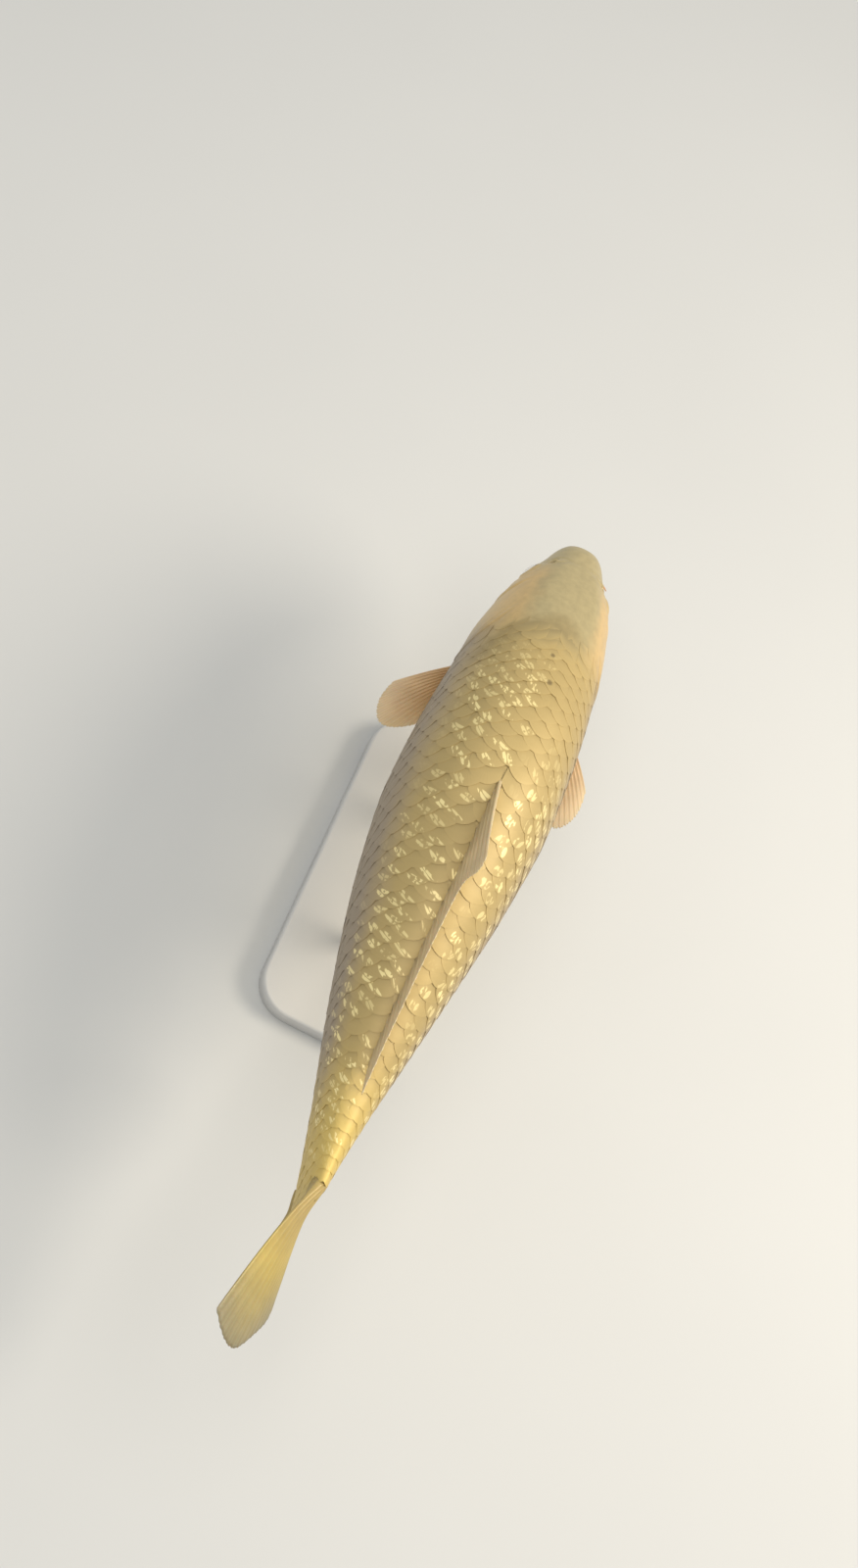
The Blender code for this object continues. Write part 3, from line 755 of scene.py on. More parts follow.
def scale_tree():
    """Geometry Nodes: lays a plate at each bed on a flat map of the side, then wraps the map on the body."""
    tree = bpy.data.node_groups.new("scales over the skin", "GeometryNodeTree")
    tree.is_modifier = True
    kinds = {"Plate": "Object", "Side": "Object", "Tilt": "Vector", "Seed": "Int"}
    for name, kind in {"Geometry": "Geometry", **kinds, "Material": "Material"}.items():
        tree.interface.new_socket(name, in_out="INPUT", socket_type="NodeSocket" + kind)
    tree.interface.new_socket("Geometry", in_out="OUTPUT", socket_type="NodeSocketGeometry")
    given = add(tree, "NodeGroupInput").node.outputs
    vectors = {"data_type": "FLOAT_VECTOR"}
    heading, size, unrolled, outward, on_plate, root = (
        add(tree, "GeometryNodeInputNamedAttribute", name, **vectors)
        for name in ("heading", "size", "Unrolled", "outward", "Plate", "root")
    )
    plate, side = (
        add(tree, "GeometryNodeObjectInfo", given[name], out="Geometry") for name in ("Plate", "Side")
    )
    other_way = add(tree, "VectorMath", {0: given["Tilt"], "Scale": -1.0}, operation="SCALE")
    limits = {0: other_way, 1: given["Tilt"], "Seed": given["Seed"]}
    tilt = add(tree, "FunctionNodeRandomValue", limits, **vectors)
    turned_by = add(tree, "VectorMath", heading, tilt, operation="ADD")
    facing = add(tree, "FunctionNodeEulerToRotation", turned_by)
    inputs = {"Points": given["Geometry"], "Instance": plate, "Rotation": facing, "Scale": size}
    laid = add(tree, "GeometryNodeRealizeInstances", add(tree, "GeometryNodeInstanceOnPoints", inputs))

    flat = add(tree, "GeometryNodeInputPosition")
    spans = (1 / BODY_LENGTH, 1 / MAP_HEIGHT, 0.0), (0.0, 0.5, 0.0)
    spot = add(tree, "VectorMath", flat, *spans, operation="MULTIPLY_ADD")
    lookup = {"Mesh": side, "UV Map": unrolled, "Sample UV": spot}
    at, out = (
        add(tree, "GeometryNodeSampleUVSurface", {**lookup, "Value": value}, **vectors)
        for value in (flat, outward)
    )
    height = add(tree, "SeparateXYZ", flat, out="Z")
    out = add(tree, "VectorMath", {0: out, "Scale": height}, operation="SCALE")
    on_body = add(tree, "VectorMath", at, out, operation="ADD")
    wrapped = add(tree, "GeometryNodeSetPosition", {"Geometry": laid, "Position": on_body})

    # Each scale takes a small patch of the bake's map, round its own root.
    patch = add(tree, "VectorMath", on_plate, (-0.5, -0.5, 0.0), operation="ADD")
    patch = add(tree, "VectorMath", {0: patch, "Scale": 0.003}, operation="SCALE")
    patch = add(tree, "VectorMath", patch, root, operation="ADD")
    inputs = {"Geometry": wrapped, "Name": "OFBake", "Value": patch}
    mapped = add(tree, "GeometryNodeStoreNamedAttribute", inputs, data_type="FLOAT2", domain="CORNER")
    painted = add(tree, "GeometryNodeSetMaterial", {"Geometry": mapped, "Material": given["Material"]})
    add(tree, "NodeGroupOutput", painted)
    return tree


def netted_scale_gold():
    """Koi scale: a clear plate over pearly guanine, wet and satin, with fan-like grooves and painted glints.
    """
    material, tree = new_material("koi scale, guanine gold")
    here = add(tree, "TexCoord", out="Object")
    on_plate = add(tree, "SeparateXYZ", add(tree, "UVMap", uv_map="Plate")).node.outputs
    back_share, off_middle = on_plate["X"], add(tree, "SUBTRACT", on_plate["Y"], 0.5)
    tone, painted_glint, chance, lean, climb, pored = (
        add(tree, "Attribute", attribute_name=name, out="Fac")
        for name in ("tone", "painted_glint", "chance", "lean", "climb", "pored")
    )
    past_root = add(tree, "MULTIPLY", add(tree, "ADD", back_share, -0.68), 0.041)
    colour = skin_markings(tree, here, past_root, add(tree, "MULTIPLY", off_middle, climb))

    # The pocket at a scale's root is a shade darker, its middle full gold and its rim pale.
    stops = ((0.26, 0.88), (0.44, 0.94), (0.62, 1.0), (0.84, 1.0), (0.94, 1.03), (1.0, 1.0))
    for level in (add(tree, "ValToRGB", back_share, stops=stops), tone):
        colour = add(tree, "Mix", {0: 1.0, 6: colour, 7: level}, blend_type="MULTIPLY", **COLOUR_MIX)

    # Painted glints: two broken pale flecks on most scales, for light glinting off the layer under the
    # scale.
    behind = add(tree, "MULTIPLY", add(tree, "ADD", back_share, -0.76), 4.3)
    across = add(tree, "MULTIPLY", off_middle, 4.6)
    aside = add(tree, "SINE", add(tree, "MULTIPLY", chance, 40.0))
    aside = add(tree, "MULTIPLY_ADD", aside, 0.75, across)
    apart = add(tree, "ABSOLUTE", add(tree, "SUBTRACT", aside, add(tree, "MULTIPLY", lean, behind)))
    beside = add(tree, "MULTIPLY", add(tree, "ADD", apart, -0.40), 2.5)
    spread = add(tree, "CombineXYZ", behind, aside)
    spread = add(tree, "VectorMath", spread, (0.9, 1.7, 1.0), operation="MULTIPLY")
    spread = add(tree, "VectorMath", spread, add(tree, "MULTIPLY", chance, 57.0), operation="ADD")
    streaks = add(tree, "TexNoise", {"Vector": spread, "Scale": 1.0, "Detail": 1.0})
    far = add(tree, "MULTIPLY_ADD", behind, behind, add(tree, "MULTIPLY", beside, beside))
    glint_mask = past(tree, (far, 1.0, 0.45), (streaks, 0.42, 0.52), most=painted_glint)

    # The lateral line: a short pore along the middle of each of its scales.
    off_pore, past_pore = (add(tree, "ABSOLUTE", way) for way in (across, behind))
    pore = past(tree, (off_pore, 0.22, 0.10), (past_pore, 0.72, 0.50), most=0.30)
    pore = add(tree, "MULTIPLY", pore, pored)
    # Lays on the painted glints and the lateral line's pores.
    for share, shade in ((glint_mask, bpy.context.scene.koi_scales.glint), (pore, "#6b5228")):
        colour = add(tree, "Mix", {0: share, 6: colour, 7: shade}, **COLOUR_MIX)

    # Faint grooves fan out from the root, and fine growth rings cross them.
    middle_x = add(tree, "ADD", back_share, -0.18)
    fan = add(tree, "ARCTAN2", off_middle, middle_x)
    fan = add(tree, "SINE", add(tree, "MULTIPLY", fan, 44.0))
    reach = add(tree, "MULTIPLY_ADD", middle_x, middle_x, add(tree, "MULTIPLY", off_middle, off_middle))
    rings = add(tree, "SINE", add(tree, "MULTIPLY", add(tree, "SQRT", reach), 170.0))
    relief = add(tree, "MULTIPLY_ADD", fan, 0.55, rings)
    add(tree, "OutputMaterial", add(tree, "BsdfPrincipled", {
        "Base Color": colour,
        "Roughness": add(tree, "MapRange", {"Value": glint_mask, "To Min": 0.52, "To Max": 0.30}),
        "Normal": add(tree, "Bump", {"Height": relief, "Strength": 0.09, "Distance": 0.0002}),
        "Metallic": 0.18,
        "Coat Weight": 0.07,
        "Coat Roughness": 0.32,
    }))
    return material


class KOI_OT_scales(bpy.types.Operator):
    """Overlapping scales in rows along each side, laid over the skin by Geometry Nodes"""

    bl_idname = "koi.scales"
    bl_label = "Scales"

    def execute(self, context):
        own = context.scene.koi_scales
        random = np.random.default_rng(own.seed)
        plate, tree, material = scale_plate(), scale_tree(), netted_scale_gold()
        beds = scale_beds()
        ridge_u = np.linspace(0.1, 1.0, 60)
        ridge_arc = arc_table(ridge_u)[2]
        for side, word in SIDES:
            u, turn = beds[:2]
            z = section(np.minimum(u, 1.0), turn)[1]
            ahead, beside = (u - gill_edge(z)) * BODY_LENGTH, at_gill(z)
            throat = 1 - smooth(z, -0.105, -0.080)
            kept = ahead > 0.0030 + 0.0040 * (1 - beside) + 0.0090 * throat
            if side < 0:
                kept &= np.abs(np.abs(turn) - math.pi / 2) > 1e-3
                kept &= u < 0.992  # the fin bends away from this side
            u, turn, arc, slope, length, width, row = beds[:, kept]
            ahead, beside = ahead[kept], beside[kept]
            count = len(u)
            above = np.sin(turn)
            step = 0.01
            ends = [np.array(section(np.minimum(u, 1.0), turn + by)) for by in (-step, step)]
            per_turn = np.hypot(*(ends[1] - ends[0])) / (2 * step) * BODY_LENGTH

            # Scales come out from under the head's skin a little at a time, and lie flatter by the tail.
            sunk = 0.00052 * (1 - beside) * (1 - smooth(ahead, 0.006, 0.034))
            bedded = sunk + 0.00025 + 0.00010 * random.uniform(-1, 1, count)
            lift = 0.32 + 0.68 * smooth(ahead, 0.0, 0.110) - 0.30 * smooth(u, 0.86, 1.02)
            lift = lift * (1 - 0.25 * (1 - smooth(above, -0.1, 0.5)))
            lift = own.overlap * lift * random.uniform(0.88, 1.12, count)
            # Painted glints: below the ridge on the left, lower towards the tail; a strip right of the fin.
            if side > 0:
                low = 0.54 - 0.50 * smooth(u, 0.45, 0.85)
                painted_glint = smooth(above, low, low + 0.30) * smooth(u, 0.22, 0.32)
            else:
                from_ridge = np.interp(u, ridge_u, ridge_arc) - arc
                painted_glint = smooth(above, -0.10, 0.35) * smooth(from_ridge, 0.010, 0.017) * smooth(u, 0.34, 0.48)
            painted_glint = painted_glint * (1 - smooth(u, 0.93, 0.99))
            painted_glint = painted_glint * (random.random(count) < 0.86) * random.uniform(0.45, 1.0, count)
            laying = {
                "heading": np.stack([0 * u, 0 * u, side * np.arctan(slope)], axis=-1),
                "size": np.stack([length, width, lift], axis=-1),
                "root": np.stack([u, turn / FULL_TURN + 0.5, 0 * u], axis=-1),
            }
            looks = {
                "along": u,
                "rise": above,
                "tone": random.uniform(0.96, 1.03, count),
                # how strong each scale's painted glints are
                "painted_glint": painted_glint,
                "chance": random.random(count),
                "lean": random.uniform(-0.3, 0.3, count) + (0.8 if side > 0 else 0.0),
                "climb": side * np.cos(turn) / per_turn * 2.08 * width,
                "pored": row == 0,
            }
            at = np.stack([u * BODY_LENGTH, side * arc, -bedded], axis=-1)
            bed = new_piece(f"scale beds {word}", at, [], values={**laying, **looks})
            surface = side_surface(side)
            modifier = bed.modifiers.new("scales", "NODES")
            modifier.node_group = tree
            sockets = {item.name: item.identifier for item in tree.interface.items_tree}
            given = {"Plate": plate, "Side": surface, "Tilt": (0.008, 0.005, 0.020), "Seed": own.seed}
            for name, value in {**given, "Material": material}.items():
                modifier[sockets[name]] = value
            context.view_layer.update()
            finish_piece(plain_mesh(bed, f"scales_{word}", looks), "scaled_skin")
            bpy.data.objects.remove(bed)
            bpy.data.objects.remove(surface)
        bpy.data.objects.remove(plate)
        return {"FINISHED"}


def plain_mesh(source, name, kept):
    """The evaluated object as a plain mesh, with only these attributes and its UV maps."""
    evaluated = source.evaluated_get(bpy.context.evaluated_depsgraph_get())
    mesh = bpy.data.meshes.new_from_object(evaluated)
    mesh.name = name
    known = {*kept, *(layer.name for layer in mesh.uv_layers), "sharp_edge", "sharp_face", "material_index"}
    for item in [a.name for a in mesh.attributes if not a.is_internal and not a.is_required]:
        if item not in known:
            mesh.attributes.remove(mesh.attributes[item])
    return in_scene(name, mesh)


# ---------------- eyes


def koi_iris():
    """Iris: brassy guanine threads round a black pupil, darker at its edge."""
    material, tree = new_material("koi iris, brass and black")
    reach, round_eye = (
        add(tree, "Attribute", attribute_name=name, out="Fac") for name in ("reach", "round")
    )
    wave = add(tree, "CombineXYZ", round_eye, reach)
    wave = add(tree, "VectorMath", wave, (42.0, 2.5, 1.0), operation="MULTIPLY")
    threads = add(tree, "TexNoise", {"Vector": wave, "Scale": 1.0, "Detail": 3.0})
    bright = add(tree, "MapRange", {"Value": threads, "To Min": 0.55, "To Max": 1.15})
    gold = {0: 1.0, 6: bpy.context.scene.koi_eyes.iris, 7: bright}
    gold = add(tree, "Mix", gold, blend_type="MULTIPLY", **COLOUR_MIX)
    gold = add(tree, "Mix", {0: past(tree, (reach, 0.62, 0.95)), 6: gold, 7: "#4b3a20"}, **COLOUR_MIX)
    ring = past(tree, (reach, 0.40, 0.46))
    add(tree, "OutputMaterial", add(tree, "BsdfPrincipled", {
        "Base Color": add(tree, "Mix", {0: ring, 6: "#060504", 7: gold}, **COLOUR_MIX),
        "Metallic": add(tree, "MULTIPLY", ring, 0.6),
        "Roughness": 0.28,
    }))
    return material


def clear_cornea():
    """Cornea: clear, wet and smooth as glass."""
    material, tree = new_material("cornea, clear and wet")
    clear = {"Base Color": "#ffffff", "Roughness": 0.0, "IOR": 1.376, "Transmission Weight": 1.0}
    add(tree, "OutputMaterial", add(tree, "BsdfPrincipled", clear))
    return material


class KOI_OT_eyes(bpy.types.Operator):
    """A domed clear cornea over a brassy iris and a round pupil, on each side"""

    bl_idname = "koi.eyes"
    bl_label = "Eyes"

    def execute(self, context):
        pupil = context.scene.koi_eyes.pupil
        iris_finish, cornea_finish = koi_iris(), clear_cornea()
        u, z = EYE_AT
        turn = math.asin(min(1.0, ((z - centre(u)) / back(u)) ** (SECTION_POWER / 2)))
        axis = Vector(body_normal(np.array(u), np.array(turn)))
        around, flatter = 64, 0.62  # steps round the eye; how much flatter the cornea is than the ball
        for side, word in SIDES:
            axis.y = side * abs(axis.y)
            low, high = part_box(f"eye_{word}")
            middle, radius = (low + high) / 2, (high - low).z / 2
            face = radius * 0.70  # where the flat iris lies
            rim = math.sqrt(radius**2 - face**2)
            iris = [(0.0, face - 0.0009), (pupil * 0.5, face - 0.0009), (pupil, face - 0.0007)]
            iris += [(pupil * 1.03, face - 0.0003), (rim * 0.75, face - 0.0002), (rim * 0.97, face)]
            angles = np.linspace(math.asin(rim / radius) + 0.05, math.pi, 14)
            ball = [(0.985 * radius * math.sin(a), 0.985 * radius * math.cos(a)) for a in angles]
            reach = [r / rim for r, _ in iris] + [1.2] * len(ball)
            round_eye = np.abs(np.linspace(-1, 1, around, endpoint=False))
            values = {"reach": np.repeat(reach, around), "round": np.tile(round_eye, len(reach))}
            shape = turned(iris + ball, middle, axis, around)
            new_piece(f"eye_iris_{word}", *shape, iris_finish, "eye", (f"eye_{word}",), values)

            dome = []
            for a in np.linspace(0, math.asin(rim / radius) + 0.10, 12):
                height = face + flatter * (radius * math.cos(a) - face) + 0.0002
                dome.append((radius * math.sin(a), height))
            inner = [(0.93 * r, h - 0.0005) for r, h in dome[::-1]]
            shape = turned(dome + inner, middle, axis, around)
            new_piece(f"eye_cornea_{word}", *shape, cornea_finish, "eye")
        return {"FINISHED"}


# ---------------- fins and barbels: v runs back along a fin's root, and t out to its edge


def out_from(u, y, z, length, out, dip):
    """A point this far from a root on the left side, at angles out from the body and down."""
    flat = length * np.cos(dip)
    return u + flat * np.cos(out), y + flat * np.sin(out), z - length * np.sin(dip)


def dorsal_sheet(v, t):
    """Part-raised: a tall front lobe, then an even low edge. It leans a little to the fish's right."""
    u = 0.446 + 0.384 * v
    out = t * (0.060 + 0.100 * np.exp(-((v / 0.195) ** 2)) + 0.014 * (1 - v))
    rise = np.radians(31 - 8 * v)
    return u + out * np.cos(rise), -0.21 * out * out, back(u) - GRIP + out * np.sin(rise)


def anal_sheet(v, t):
    """Short-based, with a long stiff front ray, and half folded back under the tail stalk."""
    u = 0.765 + 0.070 * v
    length = 0.105 - 0.048 * v**0.8
    return out_from(u, 0.0 * t, GRIP - belly(u), t * length, 0.0, np.radians(42 - 12 * v))


def pectoral_sheet(v, t, reach):
    """A round paddle held out from the lower flank just behind the gill cover, tipped down and back."""
    u, z = 0.222 + 0.018 * v, -0.056 - 0.034 * v
    length = reach * (0.100 + 0.040 * np.sin(np.pi * v / 0.9) - 0.035 * v * v)
    out, dip = np.radians(55 - 38 * v), np.radians(14 + 14 * t + 6 * v)
    return out_from(u, side_at(u, z) - GRIP, z, t * length, out, dip)


def pelvic_sheet(v, t, reach):
    """Set low on the belly under the dorsal fin's front, and folded in along it."""
    u, y = 0.452 + 0.026 * v, 0.038 - 0.012 * v
    length = reach * (0.100 + 0.020 * np.sin(np.pi * v / 0.8))
    z = centre(u) - belly(u) * rounding(y / half_width(u)) + GRIP
    return out_from(u, y, z, t * length, np.radians(9 - 8 * v), np.radians(17))


def tail_sheet(v, t):
    """Forked, with round-ended lobes. Mid-beat, both lobes trail to the left, the upper one more."""
    lobe = 2 * v - 1
    reach, upper = np.abs(lobe), lobe > 0
    fuller, rounder = np.where(upper, 0.118, 0.086), np.where(upper, 0.066, 0.088)
    length = 0.140 + fuller * reach - rounder * (np.maximum(reach - 0.60, 0) / 0.40) ** 2
    root_height = 0.055 * lobe
    end_height = np.where(upper, 0.094, 0.095) * np.copysign(reach**1.1, lobe)
    end_side = -0.003 + np.where(upper, 0.080, 0.043) * reach**1.8
    swing = 1.3 - np.where(upper, 0.45 * reach, 0.0)
    height = root_height + (end_height - root_height) * t**0.9
    return 0.99 + t * (length + 0.01), end_side * t**swing, height


def rayed_fin(name, sheet, rays, material, slot, root, tip, flesh, edge_notch=0.020):
    """A fin of bony rays under thin skin, which fork towards its edge.

    sheet(v, t) is its middle surface, as in the part's source. root and tip are the rays' thickness in
    metres, and flesh is how much the muscle at the root adds.
    """
    rows, count = rays * bpy.context.scene.koi_fins.columns + 1, 41
    v = np.linspace(0, 1, rows)[:, None]
    t = (np.linspace(0, 1, count) ** 0.92)[None, :]
    phase = v * rays
    off_ray = np.abs(phase - np.round(phase))
    forked = hump(off_ray - 0.21 * smooth(t, 0.38, 1.0), 0.15 - 0.05 * t)
    ridge = np.maximum(forked, 0.5 * hump(off_ray, 0.12) * (1 - smooth(t, 0.35, 0.6)))
    notch = edge_notch * (1 - hump(off_ray - 0.21, 0.16)) * smooth(t, 0.75, 1.0)
    wave = 0.010 * np.sin(phase * 0.9 + 0.6) * t**4
    points = place(*sheet(v, t * (1 - notch + wave * np.minimum(1, 4 * v * (1 - v)))))
    facing = unit(np.cross(np.gradient(points, axis=0), np.gradient(points, axis=1)))
    thick = tip + (root - tip) * (1 - t) ** 0.8
    half = 0.5 * thick * (0.66 + 0.34 * ridge)
    half = half * np.where((v == 0) | (v == 1), 0.6, 1.0) * np.where(t == 1, 0.5, 1.0)
    inner = np.minimum(1, 14 * v * (1 - v))
    half = half + 0.5 * flesh * np.exp(-((t / 0.16) ** 2)) * inner**0.5
    sway = 0.00010 * np.sin(2 * np.pi * phase) * smooth(t, 0.1, 0.5)
    middle = points + facing * sway[..., None]
    verts = np.concatenate([middle + facing * half[..., None], middle - facing * half[..., None]])
    first = rows * count
    faces = grid_faces(rows, count) + [face[::-1] for face in grid_faces(rows, count, first=first)]
    border = [i * count + j for i, j in grid_border(rows, count)]
    for a, b in zip(border, border[1:] + border[:1]):
        faces.append([a, b, b + first, a + first])
    values = {"ridge": ridge, "outwards": t + 0 * v, "rearwards": v + 0 * t}
    values = {word: np.tile(column.ravel(), 2) for word, column in values.items()}
    new_piece(f"rayed_{name}", verts, faces, material, slot, (name,), values)


def fin_skin(name, colour, root, tip, joints):
    """Fin: horny jointed rays, pale against a thin tinted web, satin and a little translucent."""
    material, tree = new_material(name)
    outwards, ridge = (
        add(tree, "Attribute", attribute_name=word, out="Fac") for word in ("outwards", "ridge")
    )
    here = add(tree, "TexCoord", out="Object")
    stops = ((0.0, root), (0.22, root), (0.55, colour), (1.0, tip))
    cloud = add(tree, "TexNoise", {"Vector": here, "Scale": 60.0, "Detail": 3.0})
    shade = add(tree, "ValToRGB", cloud, stops=((0.3, 0.88), (0.7, 1.04)))
    tint = {0: 1.0, 6: add(tree, "ValToRGB", outwards, stops=stops), 7: shade}
    tint = add(tree, "Mix", tint, blend_type="MULTIPLY", **COLOUR_MIX)
    web = {0: 1.0, 6: tint, 7: (0.90, 0.87, 0.82)}
    web = add(tree, "Mix", web, blend_type="MULTIPLY", **COLOUR_MIX)
    across_ray = past(tree, (ridge, 0.15, 0.85))
    wave = add(tree, "SINE", add(tree, "MULTIPLY", outwards, joints * FULL_TURN))
    joint = past(tree, (wave, 0.80, 0.98), (outwards, 0.25, 0.40), most=across_ray)
    relief = add(tree, "MULTIPLY", joint, -1.0)
    add(tree, "OutputMaterial", add(tree, "BsdfPrincipled", {
        "Base Color": add(tree, "Mix", {0: across_ray, 6: web, 7: tint}, **COLOUR_MIX),
        "Normal": add(tree, "Bump", {"Height": relief, "Strength": 0.5, "Distance": 0.0002}),
        "Roughness": 0.42,
        "Metallic": 0.08,
        "Subsurface Weight": 0.25,
        "Subsurface Radius": (1.0, 0.6, 0.3),
        "Subsurface Scale": 0.002,
        "Coat Weight": 0.15,
        "Coat Roughness": 0.2,
    }))
    return material


class KOI_OT_fins(bpy.types.Operator):
    """The dorsal, tail, anal, pectoral and pelvic fins, each of rays and web"""

    bl_idname = "koi.fins"
    bl_label = "Fins"

    def execute(self, context):
        own = context.scene.koi_fins
        olive = fin_skin("dorsal fin web, olive", own.dorsal, "#d6c094", "#e2cea4", 26)
        peach = fin_skin("paired fin web, peach", own.paired, "#cfa672", "#e6d0aa", 20)
        cream = fin_skin("tail fin web, cream", own.tail, "#bda668", "#958c6e", 30)
        rayed_fin("dorsal_fin", dorsal_sheet, 21, olive, "dorsal_fin", 0.0030, 0.0008, 0.0010)
        rayed_fin("anal_fin", anal_sheet, 8, peach, "paired_fin", 0.0028, 0.0008, 0.0012)
        rayed_fin("tail_fin", tail_sheet, 26, cream, "tail_fin", 0.0030, 0.0008, 0.0075, 0.006)
        for (side, word), spread in zip(SIDES, (0.98, 1.14)):
            for kind, left_sheet, reach, rays, root, flesh in (
                ("pectoral", pectoral_sheet, spread, 15, 0.0028, 0.0040),
                ("pelvic", pelvic_sheet, 1.0, 10, 0.0026, 0.0030),
            ):

                def sheet(v, t):
                    u, y, z = left_sheet(v, t, reach)
                    return u, side * y, z

                rayed_fin(f"{kind}_fin_{word}", sheet, rays, peach, "paired_fin", root, 0.0007, flesh)
        return {"FINISHED"}


def barbel_flesh():
    """Barbel: soft bare skin with taste buds, matt and a little translucent."""
    material, tree = new_material("barbel, soft flesh")
    here = add(tree, "TexCoord", out="Object")
    cloud = add(tree, "TexNoise", {"Vector": here, "Scale": 400.0, "Detail": 2.0})
    colours = {0: cloud, 6: bpy.context.scene.koi_fins.barbel, 7: "#b98764"}
    add(tree, "OutputMaterial", add(tree, "BsdfPrincipled", {
        "Base Color": add(tree, "Mix", colours, **COLOUR_MIX),
        "Normal": add(tree, "Bump", {"Height": cloud, "Strength": 0.3, "Distance": 0.0003}),
        "Roughness": 0.45,
        "Subsurface Weight": 0.3,
        "Subsurface Scale": 0.001,
    }))
    return material


def feeler(name, points, thick, material):
    """A tapered tube on a smooth curve through its points, flared at its root and round at its tip."""
    segments, steps = 16, 36
    ends = [place(*point) for point in points]
    t = np.linspace(0, 1, steps)
    path = np.array([(1 - s) ** 2 * ends[0] + 2 * s * (1 - s) * ends[1] + s * s * ends[2] for s in t])
    ahead = unit(np.gradient(path, axis=0))
    side = unit(np.cross(ahead, (0.1, 0.2, 1.0)))
    up = np.cross(side, ahead)
    radius = thick * (1 - 0.55 * t) + thick * 0.9 * np.exp(-((t / 0.14) ** 2))
    radius *= np.sqrt(np.clip((1 - t) / 0.05, 0.02, 1)) * (1 + 0.05 * np.sin(40 * t))
    turn = np.linspace(0, FULL_TURN, segments, endpoint=False)
    ring = side[:, None] * np.cos(turn)[None, :, None] + up[:, None] * np.sin(turn)[None, :, None]
    verts = path[:, None] + radius[:, None, None] * ring
    faces = grid_faces(steps, segments, closed=True, ends=True)
    new_piece(f"soft_{name}", verts, faces, material, "barbel", (name,))


class KOI_OT_barbels(bpy.types.Operator):
    """A short pair of feelers on the upper lip and a longer pair at the mouth's corners"""

    bl_idname = "koi.barbels"
    bl_label = "Barbels"

    def execute(self, context):
        flesh = barbel_flesh()
        for (side, word), low in zip(SIDES, (0.010, 0.0)):  # the left ones droop back under the cheek
            front = (
                (0.014, side * 0.026, -0.030),
                (0.010 + low, side * (0.046 - 1.6 * low), -0.036 - low),
                (0.014 + 2.4 * low, side * (0.060 - 3.4 * low), -0.048 - 1.4 * low),
            )
            corner = (
                (0.043, side * 0.044, -0.036),
                (0.050 + 0.8 * low, side * (0.064 - 2.4 * low), -0.048 - 0.6 * low),
                (0.066 + 1.6 * low, side * (0.068 - 2.8 * low), -0.074 - 0.2 * low),
            )
            feeler(f"barbel_front_{word}", front, 0.0010, flesh)
            feeler(f"barbel_corner_{word}", corner, 0.0014, flesh)
        return {"FINISHED"}


# ---------------- stand


def satin_enamel():
    """Satin enamel on steel: pale, even, with the faint orange peel of sprayed paint."""
    material, tree = new_material("satin enamel, pale grey")
    here = add(tree, "TexCoord", out="Object")
    peel = add(tree, "TexNoise", {"Vector": here, "Scale": 700.0, "Detail": 2.0})
    cloud = add(tree, "TexNoise", {"Vector": here, "Scale": 14.0})
    add(tree, "OutputMaterial", add(tree, "BsdfPrincipled", {
        "Base Color": add(tree, "Mix", {0: cloud, 6: "#d9d7d2", 7: "#cfcdc8"}, **COLOUR_MIX),
        "Normal": add(tree, "Bump", {"Height": peel, "Strength": 0.06, "Distance": 0.0003}),
        "Roughness": 0.38,
    }))
    return material


def brushed_steel():
    """Brushed stainless steel: bright, with fine scratches round the rod."""
    material, tree = new_material("stainless steel, brushed")
    here = add(tree, "TexCoord", out="Object")
    drawn = add(tree, "Mapping", {"Vector": here, "Scale": (60.0, 60.0, 2600.0)})
    lines = add(tree, "TexNoise", {"Vector": drawn, "Scale": 1.0, "Detail": 3.0})
    add(tree, "OutputMaterial", add(tree, "BsdfPrincipled", {
        "Base Color": add(tree, "Mix", {0: lines, 6: "#c9c9c7", 7: "#aeaeac"}, **COLOUR_MIX),
        "Roughness": add(tree, "MapRange", {"Value": lines, "To Min": 0.20, "To Max": 0.36}),
        "Metallic": 1.0,
    }))
    return material


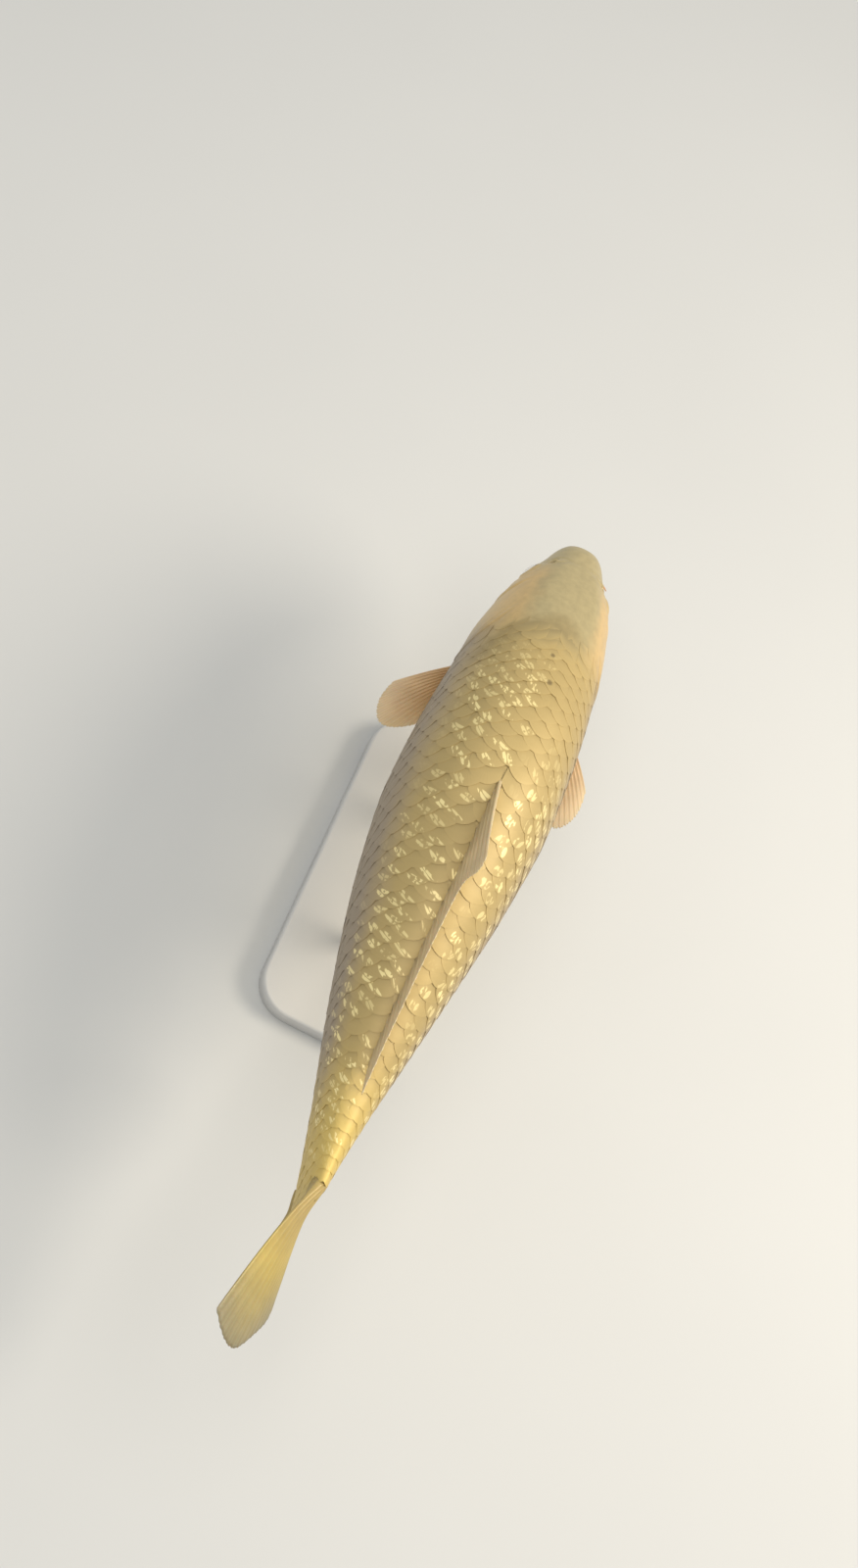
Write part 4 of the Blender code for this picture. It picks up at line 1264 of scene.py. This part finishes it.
class KOI_OT_stand(bpy.types.Operator):
    """The enamelled base with its two steel rods and their collars"""

    bl_idname = "koi.stand"
    bl_label = "Display stand"

    def execute(self, context):
        enamel, steel = satin_enamel(), brushed_steel()
        low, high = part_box("stand_base")
        size, middle = high - low, (low + high) / 2
        corner, edge, arcs = 0.028, 0.0022, 12
        outline = []
        for quarter, sign in enumerate(((1, 1), (-1, 1), (-1, -1), (1, -1))):
            for k in range(arcs + 1):
                angle = math.pi / 2 * (quarter + k / arcs)
                bend = np.array((math.cos(angle), math.sin(angle)))
                outline.append((np.array(sign) * (np.array((size.x, size.y)) / 2 - corner), bend))
        rings = [(corner - 0.010, 0.0), (corner - 0.0006, 0.0), (corner, 0.0006)]
        for a in np.linspace(0, math.pi / 2, 7):
            rings.append((corner - edge * (1 - math.cos(a)), size.z - edge * (1 - math.sin(a))))
        rings.append((corner - 0.010, size.z))
        verts = [(*(at + out * bend + middle.xy), low.z + h) for out, h in rings for at, bend in outline]
        faces = grid_faces(len(rings), len(outline), closed=True, ends=True)
        new_piece("display_base", verts, faces, enamel, "stand_base", ("stand_base",), sharp=50)

        for word in ("front", "rear"):
            low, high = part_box(f"stand_rod_{word}")
            x, y, radius = (low.x + high.x) / 2, (low.y + high.y) / 2, (high.x - low.x) / 2
            rod = [(0.0, low.z), (radius, low.z), (radius, high.z), (0.0, high.z)]
            foot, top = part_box(f"stand_collar_{word}")
            wide, tall, bore = (top.x - foot.x) / 2, top.z - foot.z, radius + 0.0003
            collar = [(bore, 0.0), (wide - 0.0004, 0.0), (wide, 0.0004)]
            for a in np.linspace(0, math.pi / 2, 6):
                collar.append((wide - 0.0022 * (1 - math.cos(a)), 0.45 * tall + 0.55 * tall * math.sin(a)))
            collar += [(bore, tall), (bore, 0.0)]
            for kind, profile, level in (("rod", rod, 0.0), ("collar", collar, foot.z)):
                verts, faces = turned(profile, (x, y, level))
                covered = (f"stand_{kind}_{word}",)
                new_piece(f"display_{kind}_{word}", verts, faces, steel, "stand_rod", covered, sharp=40)
        return {"FINISHED"}


# ---------------- studio


def soft_light(name, at, towards, size, power, colour):
    lamp = bpy.data.lights.new(name, "AREA")
    lamp.shape = "DISK"
    lamp.size = size
    lamp.energy = power
    lamp.color = linear(colour)
    obj = in_scene(name, lamp)
    obj.location = at
    obj.rotation_euler = (Vector(towards) - Vector(at)).to_track_quat("-Z", "Y").to_euler()


class KOI_OT_studio(bpy.types.Operator):
    """A pale floor, soft light from the fish's right, and the camera"""

    bl_idname = "koi.studio"
    bl_label = "Studio"

    def execute(self, context):
        own = context.scene.koi_studio
        material, tree = new_material("studio floor, matt vinyl")
        here = add(tree, "TexCoord", out="Object")
        grain = add(tree, "TexNoise", {"Vector": here, "Scale": 3.0, "Detail": 3.0})
        darker = tuple(0.94 * c for c in own.floor)
        tone = add(tree, "Mix", {0: grain, 6: own.floor, 7: darker}, **COLOUR_MIX)
        add(tree, "OutputMaterial", add(tree, "BsdfPrincipled", {"Base Color": tone, "Roughness": 0.75}))
        reach = 8.0
        corners = [(-reach, -reach, 0), (reach, -reach, 0), (reach, reach, 0), (-reach, reach, 0)]
        floor = new_piece("studio_floor", corners, [[0, 1, 2, 3]], material)
        floor.location.z = -0.0005

        middle = (0.0, 0.0, AXIS_HEIGHT)
        soft_light("key", (0.35, -1.25, 1.35), middle, 0.9, own.key, "#fff4e2")
        soft_light("top", (-0.4, 0.1, 2.4), middle, 2.0, 1.1 * own.key, "#fffaf0")
        context.scene.view_settings.view_transform = "Standard"
        world = bpy.data.worlds.new("studio air")
        world.use_nodes = True
        context.scene.world = world
        background = world.node_tree.nodes["Background"]
        background.inputs["Color"].default_value = rgba("#edf1f6")
        background.inputs["Strength"].default_value = own.fill

        lens = bpy.data.cameras.new("view from above")
        lens.lens = own.lens
        lens.sensor_width = 36.0
        lens.clip_start, lens.clip_end = 0.05, 50.0
        camera = in_scene("view from above", lens)
        camera.location = (-0.6411, 0.2353, 1.5841)
        camera.rotation_euler = [math.radians(a) for a in (19.43, -17.46, -67.03)]
        context.scene.camera = camera
        return {"FINISHED"}


# ---------------- panel and registration


PIECES = (KOI_OT_studio, KOI_OT_skin, KOI_OT_scales, KOI_OT_eyes, KOI_OT_fins, KOI_OT_barbels, KOI_OT_stand)
SETTINGS = {
    "koi_skin": KoiSkinSettings,
    "koi_scales": KoiScaleSettings,
    "koi_fins": KoiFinSettings,
    "koi_eyes": KoiEyeSettings,
    "koi_studio": KoiStudioSettings,
}


class KOI_PT_panel(bpy.types.Panel):
    """Lists the koi's settings and the pieces that can be built"""

    bl_idname = "KOI_PT_panel"
    bl_label = "Koi carp"
    bl_space_type = "VIEW_3D"
    bl_region_type = "UI"
    bl_category = "Koi"

    def draw(self, context):
        for name, group in SETTINGS.items():
            box = self.layout.box()
            box.label(text=name.replace("_", " ").capitalize())
            for field in group.__annotations__:
                box.prop(getattr(context.scene, name), field)
        for piece in PIECES:
            self.layout.operator(piece.bl_idname)


def register():
    for group in (*SETTINGS.values(), *PIECES, KOI_PT_panel):
        bpy.utils.register_class(group)
    for name, group in SETTINGS.items():
        setattr(bpy.types.Scene, name, PointerProperty(type=group))


def unregister():
    for name in SETTINGS:
        delattr(bpy.types.Scene, name)
    for group in reversed((*SETTINGS.values(), *PIECES, KOI_PT_panel)):
        bpy.utils.unregister_class(group)


def main():
    register()
    bpy.ops.koi.studio()
    bpy.ops.koi.skin()
    bpy.ops.koi.scales()
    bpy.ops.koi.eyes()
    bpy.ops.koi.fins()
    bpy.ops.koi.barbels()
    bpy.ops.koi.stand()


if __name__ == "__main__":
    main()
